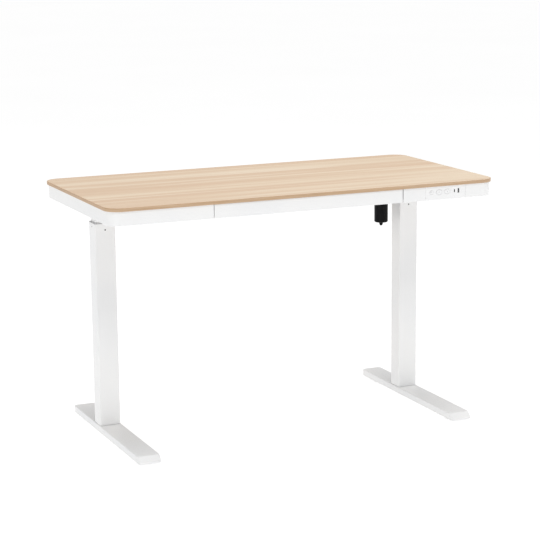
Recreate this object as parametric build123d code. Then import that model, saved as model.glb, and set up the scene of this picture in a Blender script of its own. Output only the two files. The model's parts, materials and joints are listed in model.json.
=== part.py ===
from build123d import *
import math
import os

# Height adjustable standing desk, at its lowest setting. Millimetres, +Z up.
# Origin: the centre of the footprint, on the floor. +X is the user's right, -Y is the user's side.

# ---------------------------------------------------------------- driving dimensions
DESK_W, DESK_D = 1200.0, 600.0
LOW_HEIGHT = 730.0          # desktop surface above the floor at the lowest setting
STROKE = 480.0              # how far the desk rises
BOARD_T = 10.0
BOARD_R = 45.0              # plan radius of the desktop's corners
BAND_T = 1.0                # edge band thickness
BAND_EASE = 0.8             # small rounding of the band's long edges
OVERHANG = 5.0              # desktop beyond the rails
RAIL_H = 40.0
RAIL_SHEET = 1.5
RAIL_FLANGE = 18.0
BEND_R = 1.4                # outside radius of the sheet's bends
CORNER_START = 50.0         # length of the rail corner pieces, measured in from the frame's outside
SCREW_R, SCREW_CLEAR = 2.5, 2.6             # frame screws, and their holes in sheet metal
GEARBOX_SCREW_R, GEARBOX_SCREW_CLEAR = 2.0, 2.1
BRACKET_W, BRACKET_T, BRACKET_R = 110.0, 4.0, 4.0
WINDOW_W, WINDOW_R = 50.0, 12.0             # openings in the side brackets
WINDOWS = ((-160.0, 120.0), (200.0, 60.0))  # their middles and lengths along Y

COLUMN_X, COLUMN_Y = 495.0, 74.0
OUTER_TUBE = (62.0, 56.0, 2.0, 4.0)     # across X, across Y, wall, outside corner radius
INNER_TUBE = (52.0, 46.0, 1.5, 3.0)
OUTER_TUBE_TOP = 628.0
INNER_TUBE_BOTTOM = 44.0
GLIDE_GAP = 0.15            # glide to inner tube, each side
GLIDE_LENGTH, GLIDE_RIM, GLIDE_RIM_INSET = 70.0, 2.5, 0.6
SCREW_Z_FRONT, SCREW_Z_SIDE = 610.0, 618.0
LEG_SCREW_R, LEG_SCREW_HEAD_R = 1.4, 2.2
NUT_TUBE_R, NUT_TUBE_BORE, NUT_TUBE_TOP = 14.0, 12.0, 600.0
NUT_FLANGE_R, NUT_NECK, NUT_TOP = 17.0, 14.0, 630.0

FOOT_W, FOOT_H, FOOT_SHEET = 66.0, 20.0, 2.5
FOOT_FRONT, FOOT_BACK = -296.0, 300.0
FOOT_SLOPE_RUN, FOOT_SLOPE_DROP = 14.0, 14.0     # the sloping front end
FOOT_LIFT = 6.0             # underside of the foot above the floor
FOOT_FRONT_R, FOOT_BACK_R = 6.0, 10.0    # plan corner radii of the foot
FOOT_RIM_R = 2.4            # rounding along the foot's upper edges
TUBE_LIFT = 1.0             # shadow gap between the foot and the outer tube's wall
END_PLATE = 4.0             # thickness of the plate that closes the outer tube
LEVELLER_Y = (-248.0, 225.0)
LEVELLER_R, LEVELLER_PAD = 25.0, 5.0
STEM_R, STEM_FIT, STEM_TOP = 4.0, 0.08, 21.5
WRENCH_R, WRENCH_H = 7.5, 1.6               # hexagon above the levelling pad
BOSS_R, BOSS_UP = 9.0, 2.0                  # threaded boss in the foot, and its lower end above the foot's edge
BOLT_R, BOLT_HEAD_R, BOLT_HEAD_H = 3.0, 5.5, 4.0
BOLT_DX, BOLT_DY = 20.0, 17.0
STIFFENER_T, STIFFENER_LENGTH = 3.0, 90.0   # plate under the column inside the foot

DRAWER_W = 584.0            # drawer front
DRAWER_GAP = 2.0            # between drawer front and rails
DRAWER_BACK = -20.0
DRAWER_TRAVEL = 200.0
SLIDE_LENGTH = 250.0
TRAY_SHEET = 1.2
TRAY_SETBACK = 17.0         # tray behind the drawer front's face
TRAY_Z0, TRAY_Z1 = 686.0, 712.0
FRONT_RETURN = 12.0         # depth of the drawer front's folded edges
FRONT_BELOW, FRONT_ABOVE = 0.3, 0.6         # gaps under and over the drawer front

PANEL_X0, PANEL_X1 = 365.0, 498.0
PANEL_GAP = 0.3
PRESET_X, UP_X, DOWN_X, BUTTON_Z = 386.0, 411.0, 438.0, 702.5
PRESET_D = 12.0
OVAL_W, OVAL_H = 20.0, 15.5
BUTTON_RING = 0.3           # gap round a button
BUTTON_TRAVEL = 0.8
USB_C_X, USB_A_X, USB_Z = 461.5, 474.5, 703.0
USB_C_SIZE, USB_A_SIZE = (9.0, 3.2), (5.7, 13.1)
USB_FIT = 0.15
PANEL_DEPTH, PANEL_WALL, PANEL_INSET = 26.0, 2.0, 3.0
LAMP_R, LAMP_Z = 1.1, 687.0                 # small round window in the panel's left edge
PANEL_LEAD_X, PANEL_LEAD_Z = 372.0, 694.0   # where the lead leaves the panel's back
PCB_T = 1.6

ROD_Z = 700.0               # axis of the cross shaft
ROD_FLATS = 8.0
ROD_BORE, ROD_END = 3.0, 8.0                # bore of its gears, and its length past the far spindle
GEAR_TEETH, GEAR_MODULE = 16, 1.25
GEAR_FACE = 0.56            # inner end of the bevel teeth, as a share of the pitch radius
TOOTH_ROOT, TOOTH_BASE, TOOTH_TIP = 1.4, 1.9, 0.9   # below, below and above the pitch line
TOOTH_FOOT, TOOTH_TOP = 1.05, 0.42          # half widths of a tooth
WHEEL_W, WHEEL_ROOT, WHEEL_FOOT, WHEEL_TOP = 8.0, 1.5, 0.95, 0.35
WORM_TURNS, WORM_SUNK, WORM_REACH, WORM_TOP = 4, 0.3, 2.3, 0.4
MOTOR_X, WORM_R = 405.0, 6.0
MOTOR_R = 21.0
MOTOR_BOTTOM = 560.0
MOTOR_WALL, MOTOR_END_T, MOTOR_FLANGE_T = 2.5, 3.0, 6.0
VENT, VENT_DROP, VENT_ANGLES = (8.0, 4.0, 16.0), 18.0, (20, 200)
ROTOR_R, ROTOR_Z = 17.0, (590.0, 650.0)
COMMUTATOR_R, COMMUTATOR_Z = 9.0, (656.0, 668.0)
NUB_H, NUB_R = 11.0, (7.5, 3.5)         # bearing nub under the motor: height, radii above and below
SHAFT_R, SHAFT_END = 4.0, 3.0           # motor shaft, and how far it reaches into the nub
SHAFT_TOP = 712.0
SPINDLE_R, SPINDLE_CORE_R, SPINDLE_BOTTOM = 7.0, 1.0, 116.0
# inner and outer ends of the gearboxes, from the middle; the right one is longer and holds the motor
GEARBOX_INNER, GEARBOX_OUTER = {-1: 455.0, 1: 381.0}, 527.0
GEARBOX_Y0, GEARBOX_Y1, GEARBOX_R = 42.0, 106.0, 6.0
BEVEL_ROOM, WHEEL_ROOM, ROD_ROOM, WORM_ROOM = 13.0, 12.5, 4.75, 8.2     # radii of the hollows round the gears
RUNNING = 0.06              # radial running clearance

# ---------------------------------------------------------------- derived levels and places
BOARD_Z = LOW_HEIGHT - BOARD_T              # underside of the desktop
RAIL_Z = BOARD_Z - RAIL_H                   # underside of the rails
RIM_X, RIM_Y = DESK_W / 2 - OVERHANG, DESK_D / 2 - OVERHANG
RIM_R = BOARD_R - OVERHANG
BRACKET_TOP = BOARD_Z - RAIL_SHEET
BRACKET_Z = BRACKET_TOP - BRACKET_T         # underside of the side brackets
FOOT_TOP = FOOT_LIFT + FOOT_H
PITCH_R = GEAR_TEETH * GEAR_MODULE / 2
WORM_Y = COLUMN_Y - PITCH_R - WORM_R
GEARBOX_Z0, GEARBOX_Z1 = 684.0, BRACKET_Z
DRAWER_OPEN = DRAWER_W / 2 + DRAWER_GAP
FAR = DESK_W                # past the object on every side
OVER = 1.0                  # how far a cut runs past the face it starts at

os.makedirs("parts", exist_ok=True)


# ---------------------------------------------------------------- helpers
def block(x0, x1, y0, y1, z0, z1):
    """A rectangular block between two corners."""
    return Pos((x0 + x1) / 2, (y0 + y1) / 2, (z0 + z1) / 2) * Box(x1 - x0, y1 - y0, z1 - z0)


def plate(cx, cy, w, d, r, z0, z1):
    """An upright prism on a rounded rectangle centred at cx, cy."""
    return Pos(cx, cy, z0) * extrude(RectangleRounded(w, d, r), z1 - z0)


def disc_z(x, y, r, z0, z1):
    return Pos(x, y, (z0 + z1) / 2) * Cylinder(r, z1 - z0)


def disc_y(x, z, r, y0, y1):
    return Pos(x, (y0 + y1) / 2, z) * Rot(90, 0, 0) * Cylinder(r, y1 - y0)


def disc_x(y, z, r, x0, x1):
    return Pos((x0 + x1) / 2, y, z) * Rot(0, 90, 0) * Cylinder(r, x1 - x0)


def tube(section, cx, cy, z0, z1):
    """A rectangular steel tube standing on end."""
    w, d, wall, r = section
    bore = plate(cx, cy, w - 2 * wall, d - 2 * wall, r - wall, z0 - OVER, z1 + OVER)
    return plate(cx, cy, w, d, r, z0, z1) - bore


def solids_of(things):
    """All solids of some shapes as one group."""
    return Compound([s for thing in things for s in thing.solids()])


def save(name, shape):
    export_step(shape, f"parts/{name}.step")


SIDES = (("left", -1), ("right", 1))


# ---------------------------------------------------------------- screws that need matching holes
def screw_up(x, y, z_head, z_tip, r=SCREW_R, head_r=4.5, head_h=2.5):
    """A button-head screw driven upwards; its head bears at z_head."""
    head = fillet((disc_z(x, y, head_r, z_head - head_h, z_head)).edges().sort_by(Axis.Z)[0], 1.0)
    drive = Pos(x, y, z_head - head_h) * extrude(RegularPolygon(1.7, 6), 1.4)
    return head + disc_z(x, y, r, z_head, z_tip) - drive


SCREW_DEPTH = BOARD_Z + 6.0     # how deep the wood screws reach into the board
BRACKET_SCREWS = [(sx * (COLUMN_X + dx), 286.0) for sx in (-1, 1) for dx in (-35, 35)]
BRACKET_SCREWS += [(sx * (COLUMN_X + dx), -286.0) for sx in (-1, 1) for dx in (12, 45)]
RAIL_SCREWS = [(sx * 586.0, y) for sx in (-1, 1) for y in (-150.0, 60.0)] + [(-200.0, 286.0), (90.0, 286.0)]
HANGER_SCREWS = [(sx * 305.0, -286.0) for sx in (-1, 1)]
CROSS_SCREWS = [(sx * 445.0, y) for sx in (-1, 1) for y in (0.0, 14.0)]


# ---------------------------------------------------------------- desktop
def make_desktop():
    core_size = (DESK_W - 2 * BAND_T, DESK_D - 2 * BAND_T, BOARD_R - BAND_T)
    core = plate(0, 0, *core_size, BOARD_Z, LOW_HEIGHT)
    for x, y in BRACKET_SCREWS + RAIL_SCREWS + HANGER_SCREWS:
        core -= disc_z(x, y, SCREW_R, BOARD_Z - OVER, SCREW_DEPTH)
    outer = plate(0, 0, DESK_W, DESK_D, BOARD_R, BOARD_Z, LOW_HEIGHT)
    ends = outer.faces().sort_by(Axis.Z)
    outer = fillet(ends[0].edges() + ends[-1].edges(), BAND_EASE)
    band = outer - plate(0, 0, *core_size, BOARD_Z - OVER, LOW_HEIGHT + OVER)
    save("desktop_board", core)
    save("edge_band", band)


# ---------------------------------------------------------------- perimeter rails
def rail_ring():
    """The whole rail outline: a bent sheet with a wall outside and a flange turned in at top and bottom."""
    w, d = 2 * RIM_X, 2 * RIM_Y
    outside = plate(0, 0, w, d, RIM_R, RAIL_Z, BOARD_Z)
    ends = outside.faces().sort_by(Axis.Z)
    outside = fillet(ends[0].edges() + ends[-1].edges(), BEND_R)
    def hollow(inset, z0, z1):
        return plate(0, 0, w - 2 * inset, d - 2 * inset, RIM_R - inset, z0, z1)
    outside -= hollow(RAIL_SHEET, RAIL_Z + RAIL_SHEET, BOARD_Z - RAIL_SHEET)
    return outside - hollow(RAIL_FLANGE, 0, LOW_HEIGHT)


def make_rails():
    ring = rail_ring()
    for x, y in BRACKET_SCREWS + RAIL_SCREWS + HANGER_SCREWS:
        ring -= disc_z(x, y, SCREW_CLEAR, BRACKET_TOP - OVER, BOARD_Z + OVER)
    ring -= block(INLET_X - INLET_HOLE_W / 2, INLET_X + INLET_HOLE_W / 2,
                  RIM_Y - RAIL_SHEET - OVER, RIM_Y + OVER,
                  INLET_Z - INLET_HOLE_H / 2, INLET_Z + INLET_HOLE_H / 2)
    # the wall, not the flanges, opens where the control panel sits
    ring -= block(PANEL_X0, PANEL_X1, -RIM_Y - OVER, -RIM_Y + RAIL_SHEET, RAIL_Z - OVER, BOARD_Z + OVER)
    y_cut = RIM_Y - CORNER_START
    save("rear_rail", ring & block(-FAR, FAR, y_cut, FAR, 0, FAR))
    save("left_side_rail", ring & block(-FAR, 0, -y_cut, y_cut, 0, FAR))
    save("right_side_rail", ring & block(0, FAR, -y_cut, y_cut, 0, FAR))
    save("front_left_rail", ring & block(-FAR, -DRAWER_OPEN, -FAR, -y_cut, 0, FAR))
    save("front_right_rail", ring & block(DRAWER_OPEN, FAR, -FAR, -y_cut, 0, FAR))


# ---------------------------------------------------------------- brackets and cross tube
CROSS_Y0, CROSS_Y1, CROSS_H = -8.0, 22.0, 25.0
CROSS_HALF, CROSS_WALL, CROSS_R = 455.0, 1.5, 2.5


def make_brackets():
    for side, s in SIDES:
        x = s * COLUMN_X
        bracket = plate(x, 0, BRACKET_W, 2 * (RIM_Y - RAIL_SHEET) - 1, BRACKET_R, BRACKET_Z, BRACKET_TOP)
        for middle, length in WINDOWS:
            bracket -= plate(x, middle, WINDOW_W, length, WINDOW_R, 0, FAR)
        for hx, hy in BRACKET_SCREWS + CROSS_SCREWS:
            bracket -= disc_z(hx, hy, SCREW_CLEAR, BRACKET_Z - OVER, BRACKET_TOP + OVER)
        for hx, hy in gearbox_screws(s):
            bracket -= disc_z(hx, hy, GEARBOX_SCREW_R, BRACKET_Z - OVER, BRACKET_TOP + OVER)
        save(f"{side}_side_bracket", bracket)
    bar_y = (CROSS_Y0 + CROSS_Y1) / 2
    bar = tube((CROSS_H, CROSS_Y1 - CROSS_Y0, CROSS_WALL, CROSS_R), 0, 0, -CROSS_HALF, CROSS_HALF)
    bar = Pos(0, bar_y, BRACKET_Z - CROSS_H / 2) * Rot(0, 90, 0) * bar
    for x, y in CROSS_SCREWS:
        bar -= disc_z(x, y, SCREW_CLEAR, BRACKET_Z - CROSS_H - OVER, BRACKET_Z + OVER)
    save("cross_tube", bar)


# ---------------------------------------------------------------- gears and the drive train
def bevel_gear(bore_r):
    """A 45 degree bevel gear below its apex at the origin, on the Z axis. One tooth points along +X."""
    far, near = PITCH_R, PITCH_R * GEAR_FACE
    def ring_r(z, change):
        return z + change * z / far
    root = [(bore_r, -far), (ring_r(far, -TOOTH_ROOT), -far),
            (ring_r(near, -TOOTH_ROOT), -near), (bore_r, -near)]
    body = revolve(Plane.XZ * make_face(Polyline(*[(x, z) for x, z in root], close=True)), Axis.Z)
    def tooth_face(z):
        k = z / far
        pts = [((far - TOOTH_BASE) * k, -TOOTH_FOOT * k), ((far + TOOTH_TIP) * k, -TOOTH_TOP * k),
               ((far + TOOTH_TIP) * k, TOOTH_TOP * k), ((far - TOOTH_BASE) * k, TOOTH_FOOT * k)]
        return Pos(0, 0, -z) * make_face(Polyline(*pts, close=True))
    tooth = loft([tooth_face(far), tooth_face(near)])
    for i in range(GEAR_TEETH):
        body += Rot(0, 0, i * 360 / GEAR_TEETH) * tooth
    return body


def worm_wheel(width):
    """A worm wheel on the X axis, one tooth pointing along -Y."""
    disc = disc_x(0, 0, PITCH_R - WHEEL_ROOT, -width / 2, width / 2)
    tooth = Polyline((-PITCH_R + TOOTH_BASE, -WHEEL_FOOT), (-PITCH_R - TOOTH_TIP, -WHEEL_TOP),
                     (-PITCH_R - TOOTH_TIP, WHEEL_TOP), (-PITCH_R + TOOTH_BASE, WHEEL_FOOT), close=True)
    tooth = Pos(-width / 2, 0, 0) * extrude(Plane.YZ * make_face(tooth), width)
    for i in range(GEAR_TEETH):
        disc += Rot(i * 360 / GEAR_TEETH, 0, 0) * tooth
    return disc


def worm(z_mid):
    """The worm: a core and one right-hand thread, a gap of which faces the wheel at z_mid."""
    pitch = math.pi * GEAR_MODULE
    core_r = WORM_R - TOOTH_ROOT
    length = WORM_TURNS * pitch
    z0 = z_mid + pitch / 4 - length / 2
    path = Helix(pitch, length, core_r)
    edge = Polyline((-WORM_SUNK, -TOOTH_FOOT), (WORM_REACH, -WORM_TOP),
                    (WORM_REACH, WORM_TOP), (-WORM_SUNK, TOOTH_FOOT), close=True)
    start = Plane(origin=path @ 0, x_dir=(1, 0, 0), z_dir=path % 0)
    thread = sweep(start * make_face(edge), path=path, is_frenet=True)
    return Pos(MOTOR_X, WORM_Y, z0) * thread + disc_z(MOTOR_X, WORM_Y, core_r, z0 - 2, z0 + length + 2)


def make_drive():
    half_tooth = 180 / GEAR_TEETH
    for side, s in SIDES:
        gear = Pos(s * COLUMN_X, COLUMN_Y, ROD_Z) * bevel_gear(SPINDLE_CORE_R)
        screw = disc_z(s * COLUMN_X, COLUMN_Y, SPINDLE_R, SPINDLE_BOTTOM, ROD_Z - PITCH_R)
        core = disc_z(s * COLUMN_X, COLUMN_Y, SPINDLE_CORE_R, ROD_Z - PITCH_R, ROD_Z - PITCH_R * GEAR_FACE)
        save(f"{side}_spindle", chamfer(screw.edges().sort_by(Axis.Z)[0], 1.5) + gear + core)
    rod_x = -COLUMN_X + PITCH_R * GEAR_FACE
    rod_length = 2 * COLUMN_X + PITCH_R * (1 - GEAR_FACE) + ROD_END
    hexagon = Plane.YZ * RegularPolygon(ROD_FLATS / 2, 6, major_radius=False)
    rod = Pos(rod_x, COLUMN_Y, ROD_Z) * extrude(hexagon, rod_length)
    for side, s in SIDES:
        # the gear lies on the +X side of both spindles, so that both turn the same way
        gear = Rot(0, -90, 0) * Rot(0, 0, half_tooth) * bevel_gear(ROD_BORE)
        rod += Pos(s * COLUMN_X, COLUMN_Y, ROD_Z) * gear
    rod += Pos(MOTOR_X, COLUMN_Y, ROD_Z) * worm_wheel(WHEEL_W)
    save("drive_rod", rod)
    shaft = disc_z(MOTOR_X, WORM_Y, SHAFT_R, MOTOR_BOTTOM - SHAFT_END, SHAFT_TOP)
    shaft += disc_z(MOTOR_X, WORM_Y, ROTOR_R, *ROTOR_Z)
    shaft += disc_z(MOTOR_X, WORM_Y, COMMUTATOR_R, *COMMUTATOR_Z)
    save("motor_rotor", shaft + worm(ROD_Z))


def make_motor():
    can = disc_z(MOTOR_X, WORM_Y, MOTOR_R, MOTOR_BOTTOM, GEARBOX_Z0)
    can = fillet(can.edges().sort_by(Axis.Z)[0], 4.0)
    nub = Pos(MOTOR_X, WORM_Y, MOTOR_BOTTOM - NUB_H / 2) * Cone(NUB_R[1], NUB_R[0], NUB_H)
    can += fillet(nub.edges().sort_by(Axis.Z)[0], 1.5)
    can -= disc_z(MOTOR_X, WORM_Y, MOTOR_R - MOTOR_WALL,
                  MOTOR_BOTTOM + MOTOR_END_T, GEARBOX_Z0 - MOTOR_FLANGE_T)
    can -= disc_z(MOTOR_X, WORM_Y, SHAFT_R + RUNNING, MOTOR_BOTTOM - SHAFT_END - 0.2, GEARBOX_Z0 + OVER)
    for angle in VENT_ANGLES:
        slot = Pos(MOTOR_R, 0, 0) * Box(*VENT)
        can -= Pos(MOTOR_X, WORM_Y, GEARBOX_Z0 - VENT_DROP) * Rot(0, 0, angle) * slot
    save("motor_can", can)


# ---------------------------------------------------------------- gearboxes
def gearbox_box(s):
    """Plan extent of a gearbox: the right one reaches inboard to carry the motor."""
    low_y = WORM_Y - MOTOR_R - 1 if s > 0 else GEARBOX_Y0
    return GEARBOX_INNER[s], GEARBOX_OUTER, low_y, GEARBOX_Y1


def gearbox_screws(s):
    x0, x1, y0, y1 = gearbox_box(s)
    return [(s * x, y) for x in (x0 + 5, x1 - 5) for y in (y0 + 5, y1 - 5)]


def make_gearboxes():
    for side, s in SIDES:
        x0, x1, y0, y1 = gearbox_box(s)
        cx, cy = s * (x0 + x1) / 2, (y0 + y1) / 2
        body = plate(cx, cy, x1 - x0, y1 - y0, GEARBOX_R, GEARBOX_Z0, GEARBOX_Z1)
        body -= disc_z(s * COLUMN_X, COLUMN_Y, BEVEL_ROOM, ROD_Z - PITCH_R - OVER, ROD_Z + 12)
        body -= disc_z(s * COLUMN_X, COLUMN_Y, SPINDLE_R + RUNNING, GEARBOX_Z0 - OVER, ROD_Z)
        gear_x = s * COLUMN_X + PITCH_R * 0.5
        body -= disc_x(COLUMN_Y, ROD_Z, WHEEL_ROOM, gear_x, gear_x + PITCH_R * 0.5 + OVER)
        if s > 0:
            body -= disc_x(COLUMN_Y, ROD_Z, ROD_ROOM, x0 - OVER, COLUMN_X + 18.5)
            body -= disc_x(COLUMN_Y, ROD_Z, WHEEL_ROOM,
                           MOTOR_X - WHEEL_W / 2 - OVER, MOTOR_X + WHEEL_W / 2 + OVER)
            body -= disc_z(MOTOR_X, WORM_Y, WORM_ROOM, ROD_Z - 11, ROD_Z + 11)
            body -= disc_z(MOTOR_X, WORM_Y, SHAFT_R + RUNNING, GEARBOX_Z0 - OVER, SHAFT_TOP + 0.2)
        else:
            body -= disc_x(COLUMN_Y, ROD_Z, ROD_ROOM, -COLUMN_X, -x0 + OVER)
        for x, y in gearbox_screws(s):
            body -= disc_z(x, y, GEARBOX_SCREW_CLEAR, GEARBOX_Z0 - OVER, GEARBOX_Z1 + OVER)
        save(f"{side}_gearbox_base", body & block(-FAR, FAR, 0, FAR, 0, ROD_Z))
        save(f"{side}_gearbox_cover", body & block(-FAR, FAR, 0, FAR, ROD_Z, FAR))


# ---------------------------------------------------------------- columns
def make_columns():
    for side, s in SIDES:
        x, y = s * COLUMN_X, COLUMN_Y
        ow, od, wall, orad = OUTER_TUBE
        iw, idp, _, irad = INNER_TUBE
        outer = tube(OUTER_TUBE, x, y, FOOT_TOP + TUBE_LIFT, OUTER_TUBE_TOP)
        outer += plate(x, y, ow - 2 * wall, od - 2 * wall, orad - wall, FOOT_TOP, FOOT_TOP + END_PLATE)
        for bx, by in foot_bolts(s):
            outer -= disc_z(bx, by, BOLT_R, FOOT_TOP - OVER, FOOT_TOP + END_PLATE + OVER)
        outer -= disc_y(x, SCREW_Z_FRONT, LEG_SCREW_HEAD_R, y - od, y + od)
        outer -= disc_x(y, SCREW_Z_SIDE, LEG_SCREW_HEAD_R, x - ow, x + ow)
        save(f"{side}_outer_tube", outer)
        save(f"{side}_inner_tube", tube(INNER_TUBE, x, y, INNER_TUBE_BOTTOM, GEARBOX_Z0))
        # glide set: a plastic sleeve between the tubes with a thin rim on the outer tube's top
        sleeve = plate(x, y, ow - 2 * wall, od - 2 * wall, orad - wall,
                       OUTER_TUBE_TOP - GLIDE_LENGTH, OUTER_TUBE_TOP)
        sleeve += plate(x, y, ow - 2 * GLIDE_RIM_INSET, od - 2 * GLIDE_RIM_INSET, orad - GLIDE_RIM_INSET,
                        OUTER_TUBE_TOP, OUTER_TUBE_TOP + GLIDE_RIM)
        sleeve -= plate(x, y, iw + 2 * GLIDE_GAP, idp + 2 * GLIDE_GAP, irad + GLIDE_GAP,
                        OUTER_TUBE_TOP - GLIDE_LENGTH - OVER, OUTER_TUBE_TOP + GLIDE_RIM + OVER)
        sleeve -= disc_y(x, SCREW_Z_FRONT, LEG_SCREW_R, y - od, y + od)
        sleeve -= disc_x(y, SCREW_Z_SIDE, LEG_SCREW_R, x - ow, x + ow)
        save(f"{side}_glide_set", sleeve)
        nut_tube = disc_z(x, y, NUT_TUBE_R, FOOT_TOP + END_PLATE, NUT_TUBE_TOP)
        nut_tube -= disc_z(x, y, NUT_TUBE_BORE, FOOT_TOP + END_PLATE - OVER, NUT_TUBE_TOP + OVER)
        save(f"{side}_nut_tube", nut_tube)
        nut = disc_z(x, y, NUT_FLANGE_R, NUT_TUBE_TOP, NUT_TOP)
        nut += disc_z(x, y, NUT_TUBE_BORE, NUT_TUBE_TOP - NUT_NECK, NUT_TUBE_TOP)
        nut = chamfer(nut.edges().sort_by(Axis.Z)[-1], 1.0)
        nut -= disc_z(x, y, SPINDLE_R + RUNNING, NUT_TUBE_TOP - NUT_NECK - OVER, NUT_TOP + OVER)
        save(f"{side}_spindle_nut", nut)


def foot_bolts(s):
    return [(s * COLUMN_X + dx, COLUMN_Y + dy) for dx in (-BOLT_DX, BOLT_DX) for dy in (-BOLT_DY, BOLT_DY)]


def cross_screw(disc, across, z, face, inner, d, wall):
    """A small screw through the tube wall into the glide, sunk a little; d is the side it enters from."""
    sunk = face - d * 0.4
    head = disc(across, z, LEG_SCREW_HEAD_R, *sorted((sunk, face - d * wall)))
    return head + disc(across, z, LEG_SCREW_R, *sorted((sunk, inner)))


def make_leg_screws():
    """Small glide screws in the outer tube's faces, and the bolts from the foot into its end plate."""
    ow, od, wall, _ = OUTER_TUBE
    reach_x, reach_y = INNER_TUBE[0] / 2 + 0.4, INNER_TUBE[1] / 2 + 0.4
    under = FOOT_TOP - FOOT_SHEET - STIFFENER_T
    for side, s in SIDES:
        x, y = s * COLUMN_X, COLUMN_Y
        group = []
        for d in (-1, 1):
            group.append(cross_screw(disc_y, x, SCREW_Z_FRONT, y + d * od / 2, y + d * reach_y, d, wall))
            group.append(cross_screw(disc_x, y, SCREW_Z_SIDE, x + d * ow / 2, x + d * reach_x, d, wall))
        for bx, by in foot_bolts(s):
            head = disc_z(bx, by, BOLT_HEAD_R, under - BOLT_HEAD_H, under)
            group.append(head + disc_z(bx, by, BOLT_R, under, FOOT_TOP + END_PLATE))
        save(f"{side}_leg_screws", solids_of(group))


# ---------------------------------------------------------------- feet and levelling feet
def foot_solid(grow):
    """The foot's outer form, or with a negative grow the hollow inside it."""
    half = FOOT_W / 2 + grow
    y0, y1 = FOOT_FRONT - grow, FOOT_BACK + grow
    top = FOOT_TOP + grow
    low = FOOT_LIFT if grow == 0 else FOOT_LIFT - OVER
    knee = FOOT_TOP - FOOT_SLOPE_DROP
    outline = Polyline((y0, low), (y0, knee), (y0 + FOOT_SLOPE_RUN, top), (y1, top), (y1, low), close=True)
    form = Pos(-half, 0, 0) * extrude(Plane.YZ * make_face(outline), 2 * half)
    middle = (y0 + y1) / 2
    corners = [e for e in form.edges() if abs((e @ 0).X - (e @ 1).X) < 0.1 and abs((e @ 0).Z - (e @ 1).Z) > 1]
    form = fillet([e for e in corners if (e @ 0.5).Y > middle], FOOT_BACK_R + grow)
    corners = [e for e in form.edges() if abs((e @ 0).X - (e @ 1).X) < 0.1 and abs((e @ 0).Z - (e @ 1).Z) > 1]
    front = [e for e in corners if (e @ 0.5).Y < middle and abs((e @ 0.5).X) > half - 1]
    form = fillet(front, FOOT_FRONT_R + grow)
    if grow == 0:
        rim = form.faces().filter_by(Plane.XY).sort_by(Axis.Z)[-1]
        form = fillet(rim.edges(), FOOT_RIM_R)
    return form


def make_feet():
    shell = foot_solid(0) - foot_solid(-FOOT_SHEET)
    inner_top = FOOT_TOP - FOOT_SHEET
    shell += plate(0, COLUMN_Y, FOOT_W - 2 * FOOT_SHEET, STIFFENER_LENGTH, 3,
                   inner_top - STIFFENER_T, inner_top)
    for y in LEVELLER_Y:
        shell += disc_z(0, y, BOSS_R, FOOT_LIFT + BOSS_UP, inner_top)
        shell -= disc_z(0, y, STEM_R + STEM_FIT, FOOT_LIFT, inner_top - 0.5)
    for side, s in SIDES:
        foot = Pos(s * COLUMN_X, 0, 0) * shell
        for bx, by in foot_bolts(s):
            foot -= disc_z(bx, by, BOLT_R, 0, FOOT_TOP + OVER)
        save(f"{side}_foot", foot)
        for place, y in zip(("front", "rear"), LEVELLER_Y):
            pad = disc_z(s * COLUMN_X, y, LEVELLER_R, 0, LEVELLER_PAD)
            pad = chamfer(pad.edges().sort_by(Axis.Z)[-1], 1.5)
            hexagon = Pos(s * COLUMN_X, y, LEVELLER_PAD) * extrude(RegularPolygon(WRENCH_R, 6), WRENCH_H)
            stem = disc_z(s * COLUMN_X, y, STEM_R, LEVELLER_PAD, STEM_TOP)
            save(f"{side}_{place}_leveller", pad + hexagon + stem)


# ---------------------------------------------------------------- drawer
TRAY_X = DRAWER_W / 2 - 6.0         # outside of the tray's side walls
SLIDE_Y0 = -277.0
SLIDE_OUT = 296.0                   # outside face of the outer slide member
SLIDE_Z = 703.5                     # middle of the slides
SLIDE_H, SLIDE_LIP = 27.0, 9.0      # outer member
INNER_H, INNER_LIP = 15.0, 6.5      # inner member
CAGE_LENGTH = SLIDE_LENGTH - DRAWER_TRAVEL
BALL_R, BALL_ROW, BALLS, BALL_STEP = 1.95, 9.75, 5, 10.0
BALL_X = SLIDE_OUT - 5.8
CAGE_T = 1.0
HANGER_Y0, HANGER_Z0, HANGER_W = -292.0, 688.0, 18.0


def make_drawer():
    front_y = -RIM_Y
    z0, z1 = RAIL_Z + FRONT_BELOW, BOARD_Z - FRONT_ABOVE
    half = DRAWER_W / 2
    face = block(-half, half, front_y, front_y + FRONT_RETURN, z0, z1)
    bends = face.faces().sort_by(Axis.Y)[0].edges()
    face = fillet(bends.filter_by(Axis.Z) + bends.filter_by(Axis.X).sort_by(Axis.Z)[-1:], BEND_R)
    face -= block(-half + RAIL_SHEET, half - RAIL_SHEET, front_y + RAIL_SHEET, front_y + FRONT_RETURN + OVER,
                  z0 - OVER, z1 - RAIL_SHEET)
    save("drawer_front", face)
    tray_front = front_y + TRAY_SETBACK
    tray = block(-TRAY_X, TRAY_X, tray_front, DRAWER_BACK, TRAY_Z0, TRAY_Z1)
    tray -= block(-TRAY_X + TRAY_SHEET, TRAY_X - TRAY_SHEET, tray_front + TRAY_SHEET, DRAWER_BACK - TRAY_SHEET,
                  TRAY_Z0 + TRAY_SHEET, TRAY_Z1 + OVER)
    for s in (-1, 1):
        wing = block(0, TRAY_SHEET, front_y + RAIL_SHEET, tray_front, TRAY_Z0, TRAY_Z1)
        tray += Pos(TRAY_X - TRAY_SHEET if s > 0 else -TRAY_X, 0, 0) * wing
    save("drawer_tray", tray)


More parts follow.
